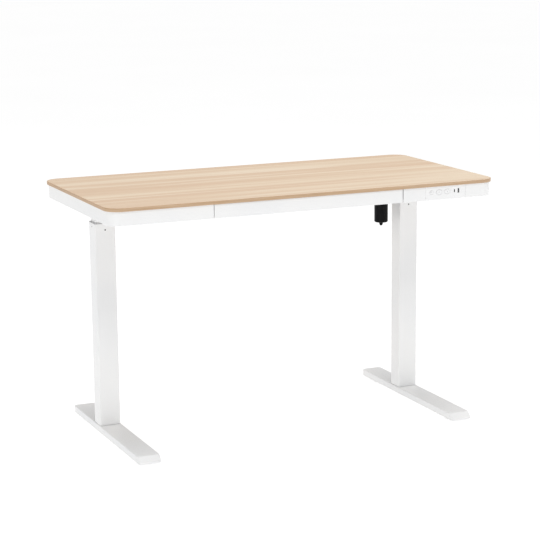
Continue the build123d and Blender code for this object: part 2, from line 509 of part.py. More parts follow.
def slide_member(x_web, x_lip, height, y0, y1):
    """A C-shaped slide member for the right side; the web stands at x_web, the lips reach to x_lip."""
    t = RAIL_SHEET
    lo, hi = SLIDE_Z - height / 2, SLIDE_Z + height / 2
    web = block(min(x_web, x_web + t), max(x_web, x_web + t), y0, y1, lo, hi)
    a, b = min(x_web, x_lip), max(x_web, x_lip)
    return web + block(a, b, y0, y1, lo, lo + t) + block(a, b, y0, y1, hi - t, hi)


def make_slides():
    y0, y1 = SLIDE_Y0, SLIDE_Y0 + SLIDE_LENGTH
    outer = slide_member(SLIDE_OUT - RAIL_SHEET, SLIDE_OUT - SLIDE_LIP, SLIDE_H, y0, y1)
    inner = slide_member(TRAY_X, TRAY_X + INNER_LIP, INNER_H, y0, y1)
    hanger = block(SLIDE_OUT, SLIDE_OUT + RAIL_SHEET, HANGER_Y0, CROSS_Y0, HANGER_Z0, BRACKET_TOP)
    hanger += block(SLIDE_OUT, SLIDE_OUT + HANGER_W, HANGER_Y0, CROSS_Y0, BRACKET_TOP - RAIL_SHEET, BRACKET_TOP)
    hanger += block(SLIDE_OUT, SLIDE_OUT + HANGER_W, CROSS_Y0 - RAIL_SHEET, CROSS_Y0,
                    HANGER_Z0 + 2, BRACKET_TOP)
    hanger -= disc_z(*HANGER_SCREWS[-1], SCREW_CLEAR, BRACKET_TOP - RAIL_SHEET - OVER, BRACKET_TOP + OVER)
    cages = []
    mid_y = (2 * SLIDE_Y0 + SLIDE_LENGTH) / 2
    cage_y = (mid_y - CAGE_LENGTH / 2, mid_y + CAGE_LENGTH / 2)
    strip = block(SLIDE_OUT - 2.6, SLIDE_OUT - 1.9, *cage_y,
                  SLIDE_Z - BALL_ROW - CAGE_T / 2, SLIDE_Z + BALL_ROW + CAGE_T / 2)
    for d in (-1, 1):
        row_z = SLIDE_Z + d * BALL_ROW
        tongue = block(BALL_X - 3.2, SLIDE_OUT - 2.6, *cage_y, row_z - CAGE_T / 2, row_z + CAGE_T / 2)
        for i in range(BALLS):
            y = mid_y + (i - (BALLS - 1) / 2) * BALL_STEP
            tongue -= disc_z(BALL_X, y, BALL_R + 0.1, row_z - OVER, row_z + OVER)
            cages.append(Pos(BALL_X, y, row_z) * Sphere(BALL_R))
        strip += tongue
    cages.append(strip)
    for side, s in SIDES:
        def place(shape):
            return shape if s > 0 else mirror(shape, about=Plane.YZ)
        save(f"{side}_slide_outer", place(outer))
        save(f"{side}_slide_inner", place(inner))
        save(f"{side}_drawer_hanger", place(hanger))
    save("drawer_ball_cages", solids_of(cages + [mirror(c, about=Plane.YZ) for c in cages]))


# ---------------------------------------------------------------- control panel
PANEL_FACE = -RIM_Y                     # front plane of the panel
PANEL_BACK = PANEL_FACE + RAIL_SHEET
BOARD_FACE = PANEL_FACE + 8.0           # front of the switch board


def oval(x, z, w, h, y0, y1):
    """An upright-faced elliptical prism along Y."""
    return Pos(x, y1, z) * extrude(Plane.XZ * Ellipse(w / 2, h / 2), y1 - y0)


def button_shapes(x, grow, y0, y1):
    w, h = (PRESET_D, PRESET_D) if x == PRESET_X else (OVAL_W, OVAL_H)
    return oval(x, BUTTON_Z, w + 2 * grow, h + 2 * grow, y0, y1)


def make_panel():
    x0, x1 = PANEL_X0 + PANEL_GAP, PANEL_X1 - PANEL_GAP
    face = block(x0, x1, PANEL_FACE, PANEL_BACK, RAIL_Z, BOARD_Z - 0.2)
    face = fillet(face.faces().sort_by(Axis.Y)[0].edges(), 0.6)
    deep = PANEL_FACE + PANEL_DEPTH
    x0, x1, z0, z1 = x0 + PANEL_INSET, x1 - PANEL_INSET, RAIL_Z + PANEL_INSET, BRACKET_Z - 0.5
    body = block(x0, x1, PANEL_BACK, deep, z0, z1)
    body -= block(x0 + PANEL_WALL, x1 - PANEL_WALL, PANEL_BACK - 0.1, deep - PANEL_WALL,
                  z0 + PANEL_WALL, z1 - PANEL_WALL)
    body -= disc_y(PANEL_LEAD_X, PANEL_LEAD_Z, 2.6, deep - PANEL_WALL - OVER, deep + OVER)
    panel = face + body
    for x in (PRESET_X, UP_X, DOWN_X):
        panel -= button_shapes(x, BUTTON_RING, PANEL_FACE - OVER, PANEL_BACK + 0.2)
    panel -= usb_c_form(USB_FIT, PANEL_FACE - OVER, PANEL_BACK + 0.2)
    panel -= usb_a_form(USB_FIT, PANEL_FACE - OVER, PANEL_BACK + 0.2)
    panel -= disc_y(PANEL_X0 + 1.9, LAMP_Z, LAMP_R, PANEL_FACE - OVER, PANEL_BACK + 0.2)
    save("control_panel", panel)
    for name, x in (("preset_button", PRESET_X), ("up_button", UP_X), ("down_button", DOWN_X)):
        cap = button_shapes(x, 0, PANEL_FACE - 0.5, PANEL_BACK + 1.0)
        cap = fillet(cap.edges().sort_by(Axis.Y)[0], 0.35)
        save(name, cap + button_shapes(x, 1.2, PANEL_BACK + 0.3, PANEL_BACK + 1.5))
    board = block(x0 + PANEL_INSET, x1 - PANEL_INSET, BOARD_FACE, BOARD_FACE + PCB_T, RAIL_Z + 6, BRACKET_Z - 3)
    for x in (PRESET_X, UP_X, DOWN_X):
        board += block(x - 3, x + 3, BOARD_FACE - 2.6, BOARD_FACE, BUTTON_Z - 3, BUTTON_Z + 3)
        board += disc_y(x, BUTTON_Z, 1.6, BOARD_FACE - 3.9, BOARD_FACE - 2.5)
    for x in (USB_C_X - 9, USB_A_X + 9):
        board += block(x - 2, x + 2, BOARD_FACE + PCB_T, BOARD_FACE + 4, USB_Z - 8, USB_Z + 2)
    save("panel_board", board)


def usb_c_form(grow, y0, y1):
    length, width = USB_C_SIZE
    outline = Plane.XZ * Rot(0, 0, 90) * SlotOverall(length + 2 * grow, width + 2 * grow)
    return Pos(USB_C_X, y1, USB_Z) * extrude(outline, y1 - y0)


def usb_a_form(grow, y0, y1):
    width, height = USB_A_SIZE
    outline = Plane.XZ * RectangleRounded(width + 2 * grow, height + 2 * grow, 0.5)
    return Pos(USB_A_X, y1, USB_Z) * extrude(outline, y1 - y0)


def make_usb():
    y0, y1 = PANEL_FACE, BOARD_FACE
    shell = usb_c_form(0, y0, y1) - usb_c_form(-0.35, y0 - OVER, y1 - 0.6)
    tongue = block(USB_C_X - 0.35, USB_C_X + 0.35, y0 + 1.5, y1 - 0.6, USB_Z - 3.3, USB_Z + 3.3)
    save("usb_c_socket", shell + tongue)
    shell = usb_a_form(0, y0, y1) - usb_a_form(-0.3, y0 - OVER, y1 - 0.6)
    tongue = block(USB_A_X - 1.9, USB_A_X - 0.1, y0 + 1.0, y1 - 0.6, USB_Z - 5.5, USB_Z + 5.5)
    save("usb_a_socket", shell + tongue)


# ---------------------------------------------------------------- control box, mains inlet and leads
BOX_X0, BOX_X1, BOX_Y0, BOX_Y1 = 140.0, 352.0, 206.0, 272.0
BOX_Z0, BOX_Z1 = 688.0, 713.0
BOX_WALL, BOX_R = 2.0, 4.0
INLET_X, INLET_Z, INLET_W, INLET_H = 250.0, 700.0, 22.0, 14.0
INLET_HOLE_W, INLET_HOLE_H = 25.0, 16.0
PIN_SPACING, PIN_R = 8.6, 1.2


def make_control_box():
    base = block(BOX_X0, BOX_X1, BOX_Y0, BOX_Y1, BOX_Z0, BOX_Z1)
    base = fillet(base.edges().filter_by(Axis.Z), BOX_R)
    base -= block(BOX_X0 + BOX_WALL, BOX_X1 - BOX_WALL, BOX_Y0 + BOX_WALL, BOX_Y1 - BOX_WALL,
                  BOX_Z0 + BOX_WALL, BOX_Z1 + OVER)
    base -= disc_y(LEAD_MOTOR_X, LEAD_MOTOR_Z, 2.6, BOX_Y0 - OVER, BOX_Y0 + BOX_WALL + OVER)
    base -= disc_y(LEAD_PANEL_X, LEAD_PANEL_Z, 2.1, BOX_Y0 - OVER, BOX_Y0 + BOX_WALL + OVER)
    base -= block(INLET_X - INLET_W / 2, INLET_X + INLET_W / 2, BOX_Y1 - BOX_WALL - OVER, BOX_Y1 + OVER,
                  INLET_Z - INLET_H / 2, INLET_Z + INLET_H / 2)
    save("control_box_base", base)
    lid = block(BOX_X0, BOX_X1, BOX_Y0, BOX_Y1, BOX_Z1, BOX_Z1 + 2)
    lid = fillet(lid.edges().filter_by(Axis.Z), BOX_R)
    for x in (BOX_X0 + 12, BOX_X1 - 12):
        for y in (BOX_Y0 + 12, BOX_Y1 - 12):
            lid += disc_z(x, y, 6.0, BOX_Z1 + 2, BOARD_Z)
    save("control_box_lid", lid)
    pcb_z = BOX_Z0 + 5
    pcb = block(BOX_X0 + 6, BOX_X1 - 6, BOX_Y0 + 5, BOX_Y1 - 5, pcb_z, pcb_z + PCB_T)
    pcb += block(BOX_X0 + 20, BOX_X0 + 60, BOX_Y0 + 15, BOX_Y0 + 50, pcb_z + PCB_T, pcb_z + 17)
    for i in range(4):
        x = BOX_X0 + 74 + i * 22
        pcb += disc_z(x, BOX_Y0 + 20, 6.0, pcb_z + PCB_T, pcb_z + 16)
        pcb += block(x - 7, x + 7, BOX_Y0 + 34, BOX_Y0 + 44, pcb_z + PCB_T, pcb_z + 14)
    for x in (BOX_X0 + 10, BOX_X1 - 10):
        pcb += disc_z(x, BOX_Y0 + 12, 3.0, BOX_Z0 + 2, pcb_z)
        pcb += disc_z(x, BOX_Y1 - 12, 3.0, BOX_Z0 + 2, pcb_z)
    save("control_board", pcb)


def make_inlet():
    """A two-pin mains inlet that looks out through the rear rail."""
    body = block(INLET_X - INLET_W / 2, INLET_X + INLET_W / 2, BOX_Y1 - BOX_WALL - OVER, RIM_Y,
                 INLET_Z - INLET_H / 2, INLET_Z + INLET_H / 2)
    lip = Pos(INLET_X, RIM_Y + 1.5, INLET_Z) * extrude(Plane.XZ * RectangleRounded(30, 20, 3), 1.5)
    mouth = Plane.XZ * SlotOverall(16.4, 8.8)
    inlet = body + lip - Pos(INLET_X, RIM_Y + 2, INLET_Z) * extrude(mouth, 16)
    for s in (-1, 1):
        inlet += disc_y(INLET_X + s * PIN_SPACING / 2, INLET_Z, PIN_R, RIM_Y - 14.5, RIM_Y - 2)
    save("power_inlet", inlet)


LEAD_MOTOR_X, LEAD_MOTOR_Y, LEAD_MOTOR_Z = 330.0, 96.0, 706.0
LEAD_PANEL_X, LEAD_PANEL_Z, LEAD_UNDER_BAR = 343.0, 698.0, 685.0
LEADS = (
    ("motor_lead", 2.5, [(GEARBOX_INNER[1], LEAD_MOTOR_Y, LEAD_MOTOR_Z),
                         (LEAD_MOTOR_X, LEAD_MOTOR_Y, LEAD_MOTOR_Z),
                         (LEAD_MOTOR_X, BOX_Y0 + BOX_WALL, LEAD_MOTOR_Z)]),
    ("panel_lead", 2.0, [(PANEL_LEAD_X, PANEL_FACE + PANEL_DEPTH - PANEL_WALL, PANEL_LEAD_Z),
                         (PANEL_LEAD_X, -235, PANEL_LEAD_Z), (LEAD_PANEL_X, -190, LEAD_UNDER_BAR),
                         (LEAD_PANEL_X, 75, LEAD_UNDER_BAR), (LEAD_PANEL_X, 165, LEAD_PANEL_Z),
                         (LEAD_PANEL_X, BOX_Y0 + BOX_WALL, LEAD_PANEL_Z)]),
)


def make_leads():
    """The two leads inside the frame, as round cables on straight runs joined by tangent arcs."""
    for name, r, points in LEADS:
        v = [Vector(*p) for p in points]
        radii = []
        for a, b, c in zip(v, v[1:], v[2:]):
            turn = math.radians((b - a).get_angle(c - b))
            run = min((b - a).length, (c - b).length)
            radii.append(0.45 * run / math.tan(turn / 2))
        print(name, "bend radii", [round(q) for q in radii])
        path = FilletPolyline(*points, radius=radii)
        lead = sweep(Plane(origin=path @ 0, z_dir=path % 0) * Circle(r), path=path)
        ideal = math.pi * r * r * path.length
        print(name, "length", round(path.length), "volume ratio", round(lead.volume / ideal, 3))
        save(name, lead)


# ---------------------------------------------------------------- frame screws
def make_frame_screws():
    group = [screw_up(x, y, BRACKET_Z, SCREW_DEPTH) for x, y in BRACKET_SCREWS]
    group += [screw_up(x, y, BRACKET_TOP, SCREW_DEPTH) for x, y in RAIL_SCREWS]
    group += [screw_up(x, y, BRACKET_TOP - RAIL_SHEET, SCREW_DEPTH) for x, y in HANGER_SCREWS]
    group += [screw_up(x, y, BRACKET_Z - CROSS_H, BRACKET_TOP) for x, y in CROSS_SCREWS]
    for _, s in SIDES:
        group += [screw_up(x, y, GEARBOX_Z0, BRACKET_TOP, GEARBOX_SCREW_R, 3.5, 2.0)
                  for x, y in gearbox_screws(s)]
    save("frame_screws", solids_of(group))


make_desktop()
make_rails()
make_brackets()
make_drive()
make_motor()
make_gearboxes()
make_columns()
make_leg_screws()
make_feet()
make_drawer()
make_slides()
make_panel()
make_usb()
make_control_box()
make_inlet()
make_leads()
make_frame_screws()
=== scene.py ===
# %% [markdown]
# # A height adjustable standing desk
# The desk is already drawn to size as 60 separate solids. This notebook loads them as a fixed frame and gives
# them their looks: finishes, small moulded and turned parts, light and a camera. Lengths are in metres, +X is
# the user's right, -Y is the user's side and +Z is up.

# %% Load the frame
import json
import math

import bmesh
import bpy
from mathutils import Matrix, Vector


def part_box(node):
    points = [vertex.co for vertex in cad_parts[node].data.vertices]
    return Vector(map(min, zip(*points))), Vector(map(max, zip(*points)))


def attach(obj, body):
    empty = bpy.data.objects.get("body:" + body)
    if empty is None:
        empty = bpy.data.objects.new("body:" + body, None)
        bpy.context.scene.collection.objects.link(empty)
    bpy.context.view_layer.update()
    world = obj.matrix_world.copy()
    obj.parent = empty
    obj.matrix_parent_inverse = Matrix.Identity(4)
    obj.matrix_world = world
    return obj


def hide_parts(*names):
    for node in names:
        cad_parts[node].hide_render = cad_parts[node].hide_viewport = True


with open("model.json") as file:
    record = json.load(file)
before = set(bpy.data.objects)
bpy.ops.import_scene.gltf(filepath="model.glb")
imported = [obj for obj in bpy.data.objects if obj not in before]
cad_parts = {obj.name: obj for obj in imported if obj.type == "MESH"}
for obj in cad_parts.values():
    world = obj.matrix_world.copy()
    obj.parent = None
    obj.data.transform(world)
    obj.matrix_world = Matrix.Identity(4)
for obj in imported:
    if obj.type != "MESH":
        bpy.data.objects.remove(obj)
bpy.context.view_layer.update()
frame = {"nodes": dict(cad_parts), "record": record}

MM = 0.001
NODES = frame["nodes"]
scene = bpy.context.scene

# %% [markdown]
# ## Camera
# A long lens a good five metres away keeps the columns nearly parallel. The camera stands to the left of the
# desk, higher than its top, and looks slightly down. Yaw and pitch alone keep the horizon level. The roll of
# half a degree then tips it a very little, like a tripod that isn't quite upright.

# %% Place the camera
CAMERA_AT = Vector((-2.062, -4.687, 1.505))
YAW, PITCH, ROLL = math.radians(23.77), math.radians(11.585), math.radians(-0.55)
LENS_MM, SENSOR_MM, SIGHT = 116.67, 36, 200
ahead = Vector((math.sin(YAW) * math.cos(PITCH), math.cos(YAW) * math.cos(PITCH), -math.sin(PITCH)))
level = Vector((math.cos(YAW), -math.sin(YAW), 0))
upward = level.cross(ahead)
across = level * math.cos(ROLL) + upward * math.sin(ROLL)
upright = upward * math.cos(ROLL) - level * math.sin(ROLL)
camera = bpy.data.objects.new("camera", bpy.data.cameras.new("camera"))
camera.data.lens = LENS_MM
camera.data.sensor_width = SENSOR_MM
camera.data.clip_end = SIGHT
turned = Matrix((across, upright, -ahead)).transposed().to_4x4()
camera.matrix_world = Matrix.Translation(CAMERA_AT) @ turned
scene.collection.objects.link(camera)
scene.camera = camera
scene.view_settings.view_transform = "Standard"
print("camera", [round(v, 3) for v in camera.location], "lens", camera.data.lens)

# %% [markdown]
# ## Materials from nodes
# A finish is more than a colour: its tone drifts, its gloss varies and its surface has a texture of its own.
# Each finish here is a Principled shader fed by a few noises. A small class keeps the wiring short. Its
# noises read Object coordinates, which are real metres here, so a scale of 1000 means features one
# millimetre apart.


# %% A finish in the making
class Finish:
    """A material: one Principled shader, with noises in metres for its tone, gloss and surface."""

    def __init__(self, name, **constants):
        self.material = bpy.data.materials.new(name)
        self.material.use_nodes = True
        self.tree = self.material.node_tree
        self.shader = self.tree.nodes["Principled BSDF"]
        self.place = self.tree.nodes.new("ShaderNodeTexCoord").outputs["Object"]
        for socket, value in constants.items():
            self.shader.inputs[socket.replace("_", " ")].default_value = value

    def node(self, kind, links=(), **settings):
        node = self.tree.nodes.new("ShaderNode" + kind)
        for key, value in settings.items():
            setattr(node, key, value)
        for socket, value in links:
            if isinstance(value, bpy.types.NodeSocket):
                self.tree.links.new(value, node.inputs[socket])
            else:
                node.inputs[socket].default_value = value
        return node

    def stretched(self, x, y, z):
        """Object coordinates, drawn out: a small number makes a pattern long that way."""
        return self.node("Mapping", [("Vector", self.place), ("Scale", (x, y, z))]).outputs["Vector"]

    def noise(self, scale, vector=None, detail=3.0, rough=0.5, bend=0.0):
        links = [("Vector", vector or self.place), ("Scale", scale), ("Detail", detail)]
        links += [("Roughness", rough), ("Distortion", bend)]
        return self.node("TexNoise", links).outputs["Fac"]

    def ramp(self, value, *stops):
        node = self.node("ValToRGB", [("Fac", value)])
        marks = node.color_ramp.elements
        while len(marks) < len(stops):
            marks.new(0.5)
        for mark, (position, colour) in zip(marks, stops):
            mark.position = position
            mark.color = (*colour, 1) if len(colour) == 3 else colour
        return node.outputs["Color"]

    def grade(self, value, low, high, start=0.3, end=0.7):
        """A number that runs from low to high as value runs from start to end."""
        links = [("Value", value), ("From Min", start), ("From Max", end), ("To Min", low), ("To Max", high)]
        return self.node("MapRange", links).outputs["Result"]

    def mix(self, share, a, b, how="MIX"):
        node = self.node("Mix", data_type="RGBA", blend_type=how)
        for socket, value in ((node.inputs[0], share), (node.inputs[6], a), (node.inputs[7], b)):
            if isinstance(value, bpy.types.NodeSocket):
                self.tree.links.new(value, socket)
            else:
                socket.default_value = value if isinstance(value, float) else (*value, 1)
        return node.outputs[2]

    def maths(self, how, a, b):
        return self.node("Math", [(0, a), (1, b)], operation=how).outputs[0]

    def finish(self, colour, gloss=None, heights=()):
        """Connects a colour, a roughness and a chain of (height, depth in metres) bumps."""
        link = self.tree.links.new
        link(colour, self.shader.inputs["Base Color"])
        if gloss is not None:
            link(gloss, self.shader.inputs["Roughness"])
        normal = None
        for height, depth in heights:
            links = [("Height", height), ("Distance", depth), ("Strength", 1.0)]
            links += [("Normal", normal)] if normal else []
            normal = self.node("Bump", links).outputs["Normal"]
        if normal:
            link(normal, self.shader.inputs["Normal"])
        print("finish", self.material.name, "nodes", len(self.tree.nodes))
        return self.material


# %% [markdown]
# ## Oak laminate
# The top is a printed oak laminate. The print has soft bands a hand's breadth apart that run the whole width
# of the desk, pink-beige and straw by turns, with fine grain lines and short pores in them. Noise drawn out
# along X gives all three: one wide and slow, one narrow, one very narrow and broken up. The same noises press
# the pores in a few hundredths of a millimetre, as the real print is embossed.

# %% Oak laminate for the desktop
BEIGE, MIDDLE, STRAW = (0.575, 0.425, 0.300), (0.605, 0.470, 0.340), (0.650, 0.535, 0.405)
PALE_STRAND, DARK_STRAND = (0.690, 0.590, 0.465), (0.540, 0.380, 0.260)
UMBER, PORE = (0.480, 0.325, 0.205), (0.36, 0.23, 0.14)
GRAIN_DEPTH, PORE_DEPTH = 0.00002, 0.00004


def oak_laminate():
    oak = Finish("oak_laminate", Specular_IOR_Level=0.35)
    bands = oak.noise(14.0, oak.stretched(0.035, 1, 1), 2.0, 0.5, 0.1)
    strands = oak.noise(46.0, oak.stretched(0.025, 1, 1), 2.0, 0.5)
    grain = oak.noise(420.0, oak.stretched(0.02, 1, 1), 3.0, 0.6)
    pores = oak.noise(1100.0, oak.stretched(0.025, 1, 1), 1.0, 0.5)
    tone = oak.ramp(bands, (0.38, BEIGE), (0.50, MIDDLE), (0.60, STRAW))
    tone = oak.mix(oak.grade(strands, 0.0, 0.75, 0.54, 0.68), tone, PALE_STRAND)
    tone = oak.mix(oak.grade(strands, 0.35, 0.0, 0.30, 0.44), tone, DARK_STRAND)
    tone = oak.mix(oak.grade(grain, 0.20, 0.0, 0.30, 0.55), tone, UMBER)
    pits = oak.grade(pores, 1.0, 0.0, 0.28, 0.38)
    tone = oak.mix(oak.maths("MULTIPLY", pits, 0.22), tone, PORE)
    gloss = oak.grade(grain, 0.46, 0.56)
    level = oak.maths("SUBTRACT", 1.0, pits)
    return oak.finish(tone, gloss, [(grain, GRAIN_DEPTH), (level, PORE_DEPTH)])


# %% Oak edge band
BAND_DARK, BAND_MIDDLE, BAND_PALE = (0.44, 0.285, 0.170), (0.530, 0.370, 0.240), (0.600, 0.450, 0.310)
BAND_GOLD = (0.54, 0.34, 0.19)


def oak_band():
    """The band's grain runs round the edge, so its noise is drawn out level and tight in height."""
    oak = Finish("oak_band", Specular_IOR_Level=0.35)
    layers = oak.noise(380.0, oak.stretched(0.02, 0.02, 1), 3.0, 0.6)
    drift = oak.noise(9.0, None, 2.0)
    tone = oak.ramp(layers, (0.30, BAND_DARK), (0.55, BAND_MIDDLE), (0.75, BAND_PALE))
    tone = oak.mix(oak.grade(drift, 0.0, 0.25), tone, BAND_GOLD)
    return oak.finish(tone, oak.grade(layers, 0.42, 0.52), [(layers, 0.00003)])


# %% [markdown]
# ## White powder coat
# The steel is powder coated. The powder melts into a skin with a fine orange peel, about a millimetre from
# crest to crest, which breaks a highlight up very slightly. The tone is not quite even either: it is thinner
# and cooler here, thicker and warmer there.

# %% Powder coat, and smooth moulded white plastic
def white_coat():
    coat = Finish("white_coat", Specular_IOR_Level=0.5)
    drift = coat.noise(5.0, None, 2.0)
    speck = coat.noise(2600.0, None, 2.0, 0.6)
    peel = coat.noise(950.0, None, 2.0, 0.55)
    tone = coat.ramp(drift, (0.35, (0.815, 0.820, 0.825)), (0.65, (0.845, 0.845, 0.842)))
    tone = coat.mix(coat.grade(speck, 0.06, 0.0, 0.3, 0.5), tone, (0.70, 0.70, 0.71))
    return coat.finish(tone, coat.grade(peel, 0.27, 0.36), [(peel, 0.000035), (speck, 0.000008)])


def white_plastic():
    white = Finish("white_plastic", Specular_IOR_Level=0.45)
    drift = white.noise(12.0, None, 2.0)
    spark = white.noise(3200.0, None, 2.0, 0.6)
    tone = white.ramp(drift, (0.35, (0.835, 0.838, 0.842)), (0.65, (0.850, 0.850, 0.850)))
    return white.finish(tone, white.grade(spark, 0.34, 0.44), [(spark, 0.00001)])


# %% [markdown]
# ## Black parts
# Moulded black plastic has a spark-eroded texture, because its mould was eroded and not polished. The motor's
# can is enamelled instead: a glossy skin over drawn steel, in which the lights stand as tall narrow bands.

# %% Moulded black plastic, black enamel and cable sheath
def dark_plastic():
    black = Finish("dark_plastic", Specular_IOR_Level=0.45)
    spark = black.noise(2200.0, None, 3.0, 0.6)
    drift = black.noise(40.0, None, 2.0)
    tone = black.ramp(drift, (0.35, (0.030, 0.030, 0.032)), (0.65, (0.048, 0.048, 0.050)))
    tone = black.mix(black.grade(spark, 0.0, 0.30, 0.5, 0.8), tone, (0.10, 0.10, 0.10))
    return black.finish(tone, black.grade(spark, 0.44, 0.60), [(spark, 0.00003)])


def grey_plastic():
    """The glides are a self-lubricating nylon, mid grey and a little waxy."""
    grey = Finish("grey_plastic", Specular_IOR_Level=0.4)
    spark = grey.noise(1800.0, None, 3.0, 0.6)
    drift = grey.noise(30.0, None, 2.0)
    tone = grey.ramp(drift, (0.35, (0.46, 0.46, 0.47)), (0.65, (0.52, 0.52, 0.53)))
    return grey.finish(tone, grey.grade(spark, 0.45, 0.58), [(spark, 0.00002)])


def black_enamel():
    enamel = Finish("black_enamel", Specular_IOR_Level=0.06, Coat_Weight=0.03, Coat_Roughness=0.15)
    drift = enamel.noise(60.0, None, 2.0)
    peel = enamel.noise(500.0, None, 1.0)
    tone = enamel.ramp(drift, (0.35, (0.0045, 0.0045, 0.0050)), (0.65, (0.0065, 0.0065, 0.0070)))
    return enamel.finish(tone, enamel.grade(peel, 0.22, 0.30), [(peel, 0.00002)])


def black_steel():
    """Small screws are blackened in oil: dark, slightly brown, with the turning marks still there."""
    dark = Finish("black_steel", Specular_IOR_Level=0.3)
    marks = dark.noise(2400.0, None, 2.0)
    tone = dark.ramp(marks, (0.35, (0.020, 0.019, 0.018)), (0.65, (0.036, 0.034, 0.032)))
    return dark.finish(tone, dark.grade(marks, 0.35, 0.5), [(marks, 0.00001)])


def cable_sheath():
    sheath = Finish("cable_sheath", Specular_IOR_Level=0.4)
    scuff = sheath.noise(700.0, None, 3.0, 0.6)
    drift = sheath.noise(25.0, None, 2.0)
    tone = sheath.ramp(drift, (0.35, (0.020, 0.020, 0.021)), (0.65, (0.036, 0.036, 0.037)))
    return sheath.finish(tone, sheath.grade(scuff, 0.40, 0.62), [(scuff, 0.00003)])


# %% [markdown]
# ## Metals and circuit board
# Screws, slides and shafts are zinc plated or ground. Both scatter the light along fine scratches, so the
# roughness itself is a noise. The boards are green solder mask with straight copper tracks just under it,
# which a brick pattern drawn as thin lines suggests well.

# %% Bright steel and solder mask
def bright_steel():
    steel = Finish("bright_steel", Metallic=1.0)
    scratch = steel.noise(900.0, steel.stretched(1, 1, 0.15), 3.0, 0.65)
    cloud = steel.noise(80.0, None, 3.0)
    tone = steel.ramp(cloud, (0.35, (0.56, 0.56, 0.57)), (0.65, (0.68, 0.68, 0.66)))
    tone = steel.mix(steel.grade(scratch, 0.18, 0.0, 0.3, 0.55), tone, (0.36, 0.36, 0.37))
    return steel.finish(tone, steel.grade(scratch, 0.24, 0.42), [(scratch, 0.00001)])


MASK, MASK_THICK, TRACK = (0.012, 0.085, 0.040, 1), (0.014, 0.100, 0.048, 1), (0.05, 0.22, 0.10, 1)


def circuit_board():
    board = Finish("circuit_board", Specular_IOR_Level=0.5)
    links = [("Vector", board.stretched(1, 1, 1)), ("Scale", 120.0), ("Mortar Size", 0.012)]
    links += [("Color1", MASK), ("Color2", MASK_THICK), ("Mortar", TRACK)]
    tracks = board.node("TexBrick", links)
    cloud = board.noise(300.0, None, 3.0)
    tone = board.mix(board.grade(cloud, 0.0, 0.25), tracks.outputs["Color"], (0.02, 0.14, 0.07))
    return board.finish(tone, board.grade(cloud, 0.22, 0.36), [(tracks.outputs["Fac"], 0.00004)])


# %% Finishes that only small parts need
def grey_print():
    ink = Finish("grey_print", Specular_IOR_Level=0.3)
    wear = ink.noise(1800.0, None, 3.0, 0.6)
    tone = ink.ramp(wear, (0.35, (0.44, 0.44, 0.45)), (0.65, (0.52, 0.52, 0.53)))
    return ink.finish(tone, ink.grade(wear, 0.5, 0.62), [(wear, 0.000004)])


def gold_contact():
    gold = Finish("gold_contact", Metallic=1.0)
    wear = gold.noise(4000.0, None, 2.0)
    tone = gold.ramp(wear, (0.35, (0.74, 0.52, 0.20)), (0.65, (0.83, 0.62, 0.28)))
    return gold.finish(tone, gold.grade(wear, 0.18, 0.30), [(wear, 0.000002)])


# %% Give every carried-over node its finish
FINISHES = {make.__name__: make() for make in (
    oak_laminate, oak_band, white_coat, white_plastic, dark_plastic, grey_plastic, black_enamel,
    bright_steel, circuit_board, cable_sheath, black_steel, grey_print, gold_contact)}
for part in frame["record"]["subparts"]:
    NODES[part["node"]].material_slots[0].material = FINISHES[part["material_slot"]]

# %% [markdown]
# ## Small parts
# The frame's solids carry the shape of the desk. What makes it look real up close is small: turned pads,
# button-head screws, threads, printed marks, contacts. Some are turned on a lathe, in code: an outline of
# radii and heights is carried round an axis, and a radius may change with the angle, which gives a
# hexagonal socket.

# %% Turning and finishing a mesh
TURN = 2 * math.pi
CREASE = math.radians(32)       # edges sharper than this stay sharp when a mesh is shaded smooth


def lathe(bm, outline, centre=(0, 0, 0), turns=48, facing=None):
    """Carries (radius, height) pairs round an axis, in order. Radius 0 closes the shape in a pole."""
    rings = []
    facing = facing or Matrix.Identity(3)
    for radius, height in outline:
        ring = []
        for i in range(1 if radius == 0 else turns):
            angle = TURN * i / turns
            r = radius(angle) if callable(radius) else radius
            spot = facing @ Vector((r * math.cos(angle), r * math.sin(angle), height))
            ring.append(bm.verts.new(spot + Vector(centre)))
        rings.append(ring)
    for low, high in zip(rings, rings[1:]):
        for i in range(turns):
            j = (i + 1) % turns
            corners = [low[i % len(low)], low[j % len(low)], high[j % len(high)], high[i % len(high)]]
            bm.faces.new(list(dict.fromkeys(corners)))


def hexagon(across_flats):
    """The radius of a hexagon at any angle."""
    return lambda angle: across_flats / 2 / math.cos((angle % (TURN / 6)) - TURN / 12)


def brick(bm, low, high, soften=0.0):
    """A block between two corners, with softened edges."""
    low, high = Vector(low), Vector(high)
    made = bmesh.ops.create_cube(bm, size=1.0)["verts"]
    for vert in made:
        vert.co = (low + high) / 2 + Vector(c * s for c, s in zip(vert.co, high - low))
    if soften:
        edges = list({edge for vert in made for edge in vert.link_edges})
        bmesh.ops.bevel(bm, geom=edges, offset=soften, segments=3, profile=0.5, affect="EDGES")


def dress(name, mesh, finish, body, stands_for=()):
    """Gives a mesh its finish, puts it on a body and lets it stand for the plain nodes it replaces."""
    mesh.materials.clear()
    mesh.materials.append(FINISHES[finish])
    mesh.polygons.foreach_set("use_smooth", [True] * len(mesh.polygons))
    mesh.set_sharp_from_angle(angle=CREASE)
    piece = bpy.data.objects.new(name, mesh)
    scene.collection.objects.link(piece)
    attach(piece, body)
    if stands_for:
        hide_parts(*stands_for)
    print("piece", name, "faces", len(mesh.polygons), "on", body)
    return piece


def mesh_of(name, bm):
    bmesh.ops.recalc_face_normals(bm, faces=bm.faces)
    mesh = bpy.data.meshes.new(name)
    bm.to_mesh(mesh)
    bm.free()
    return mesh


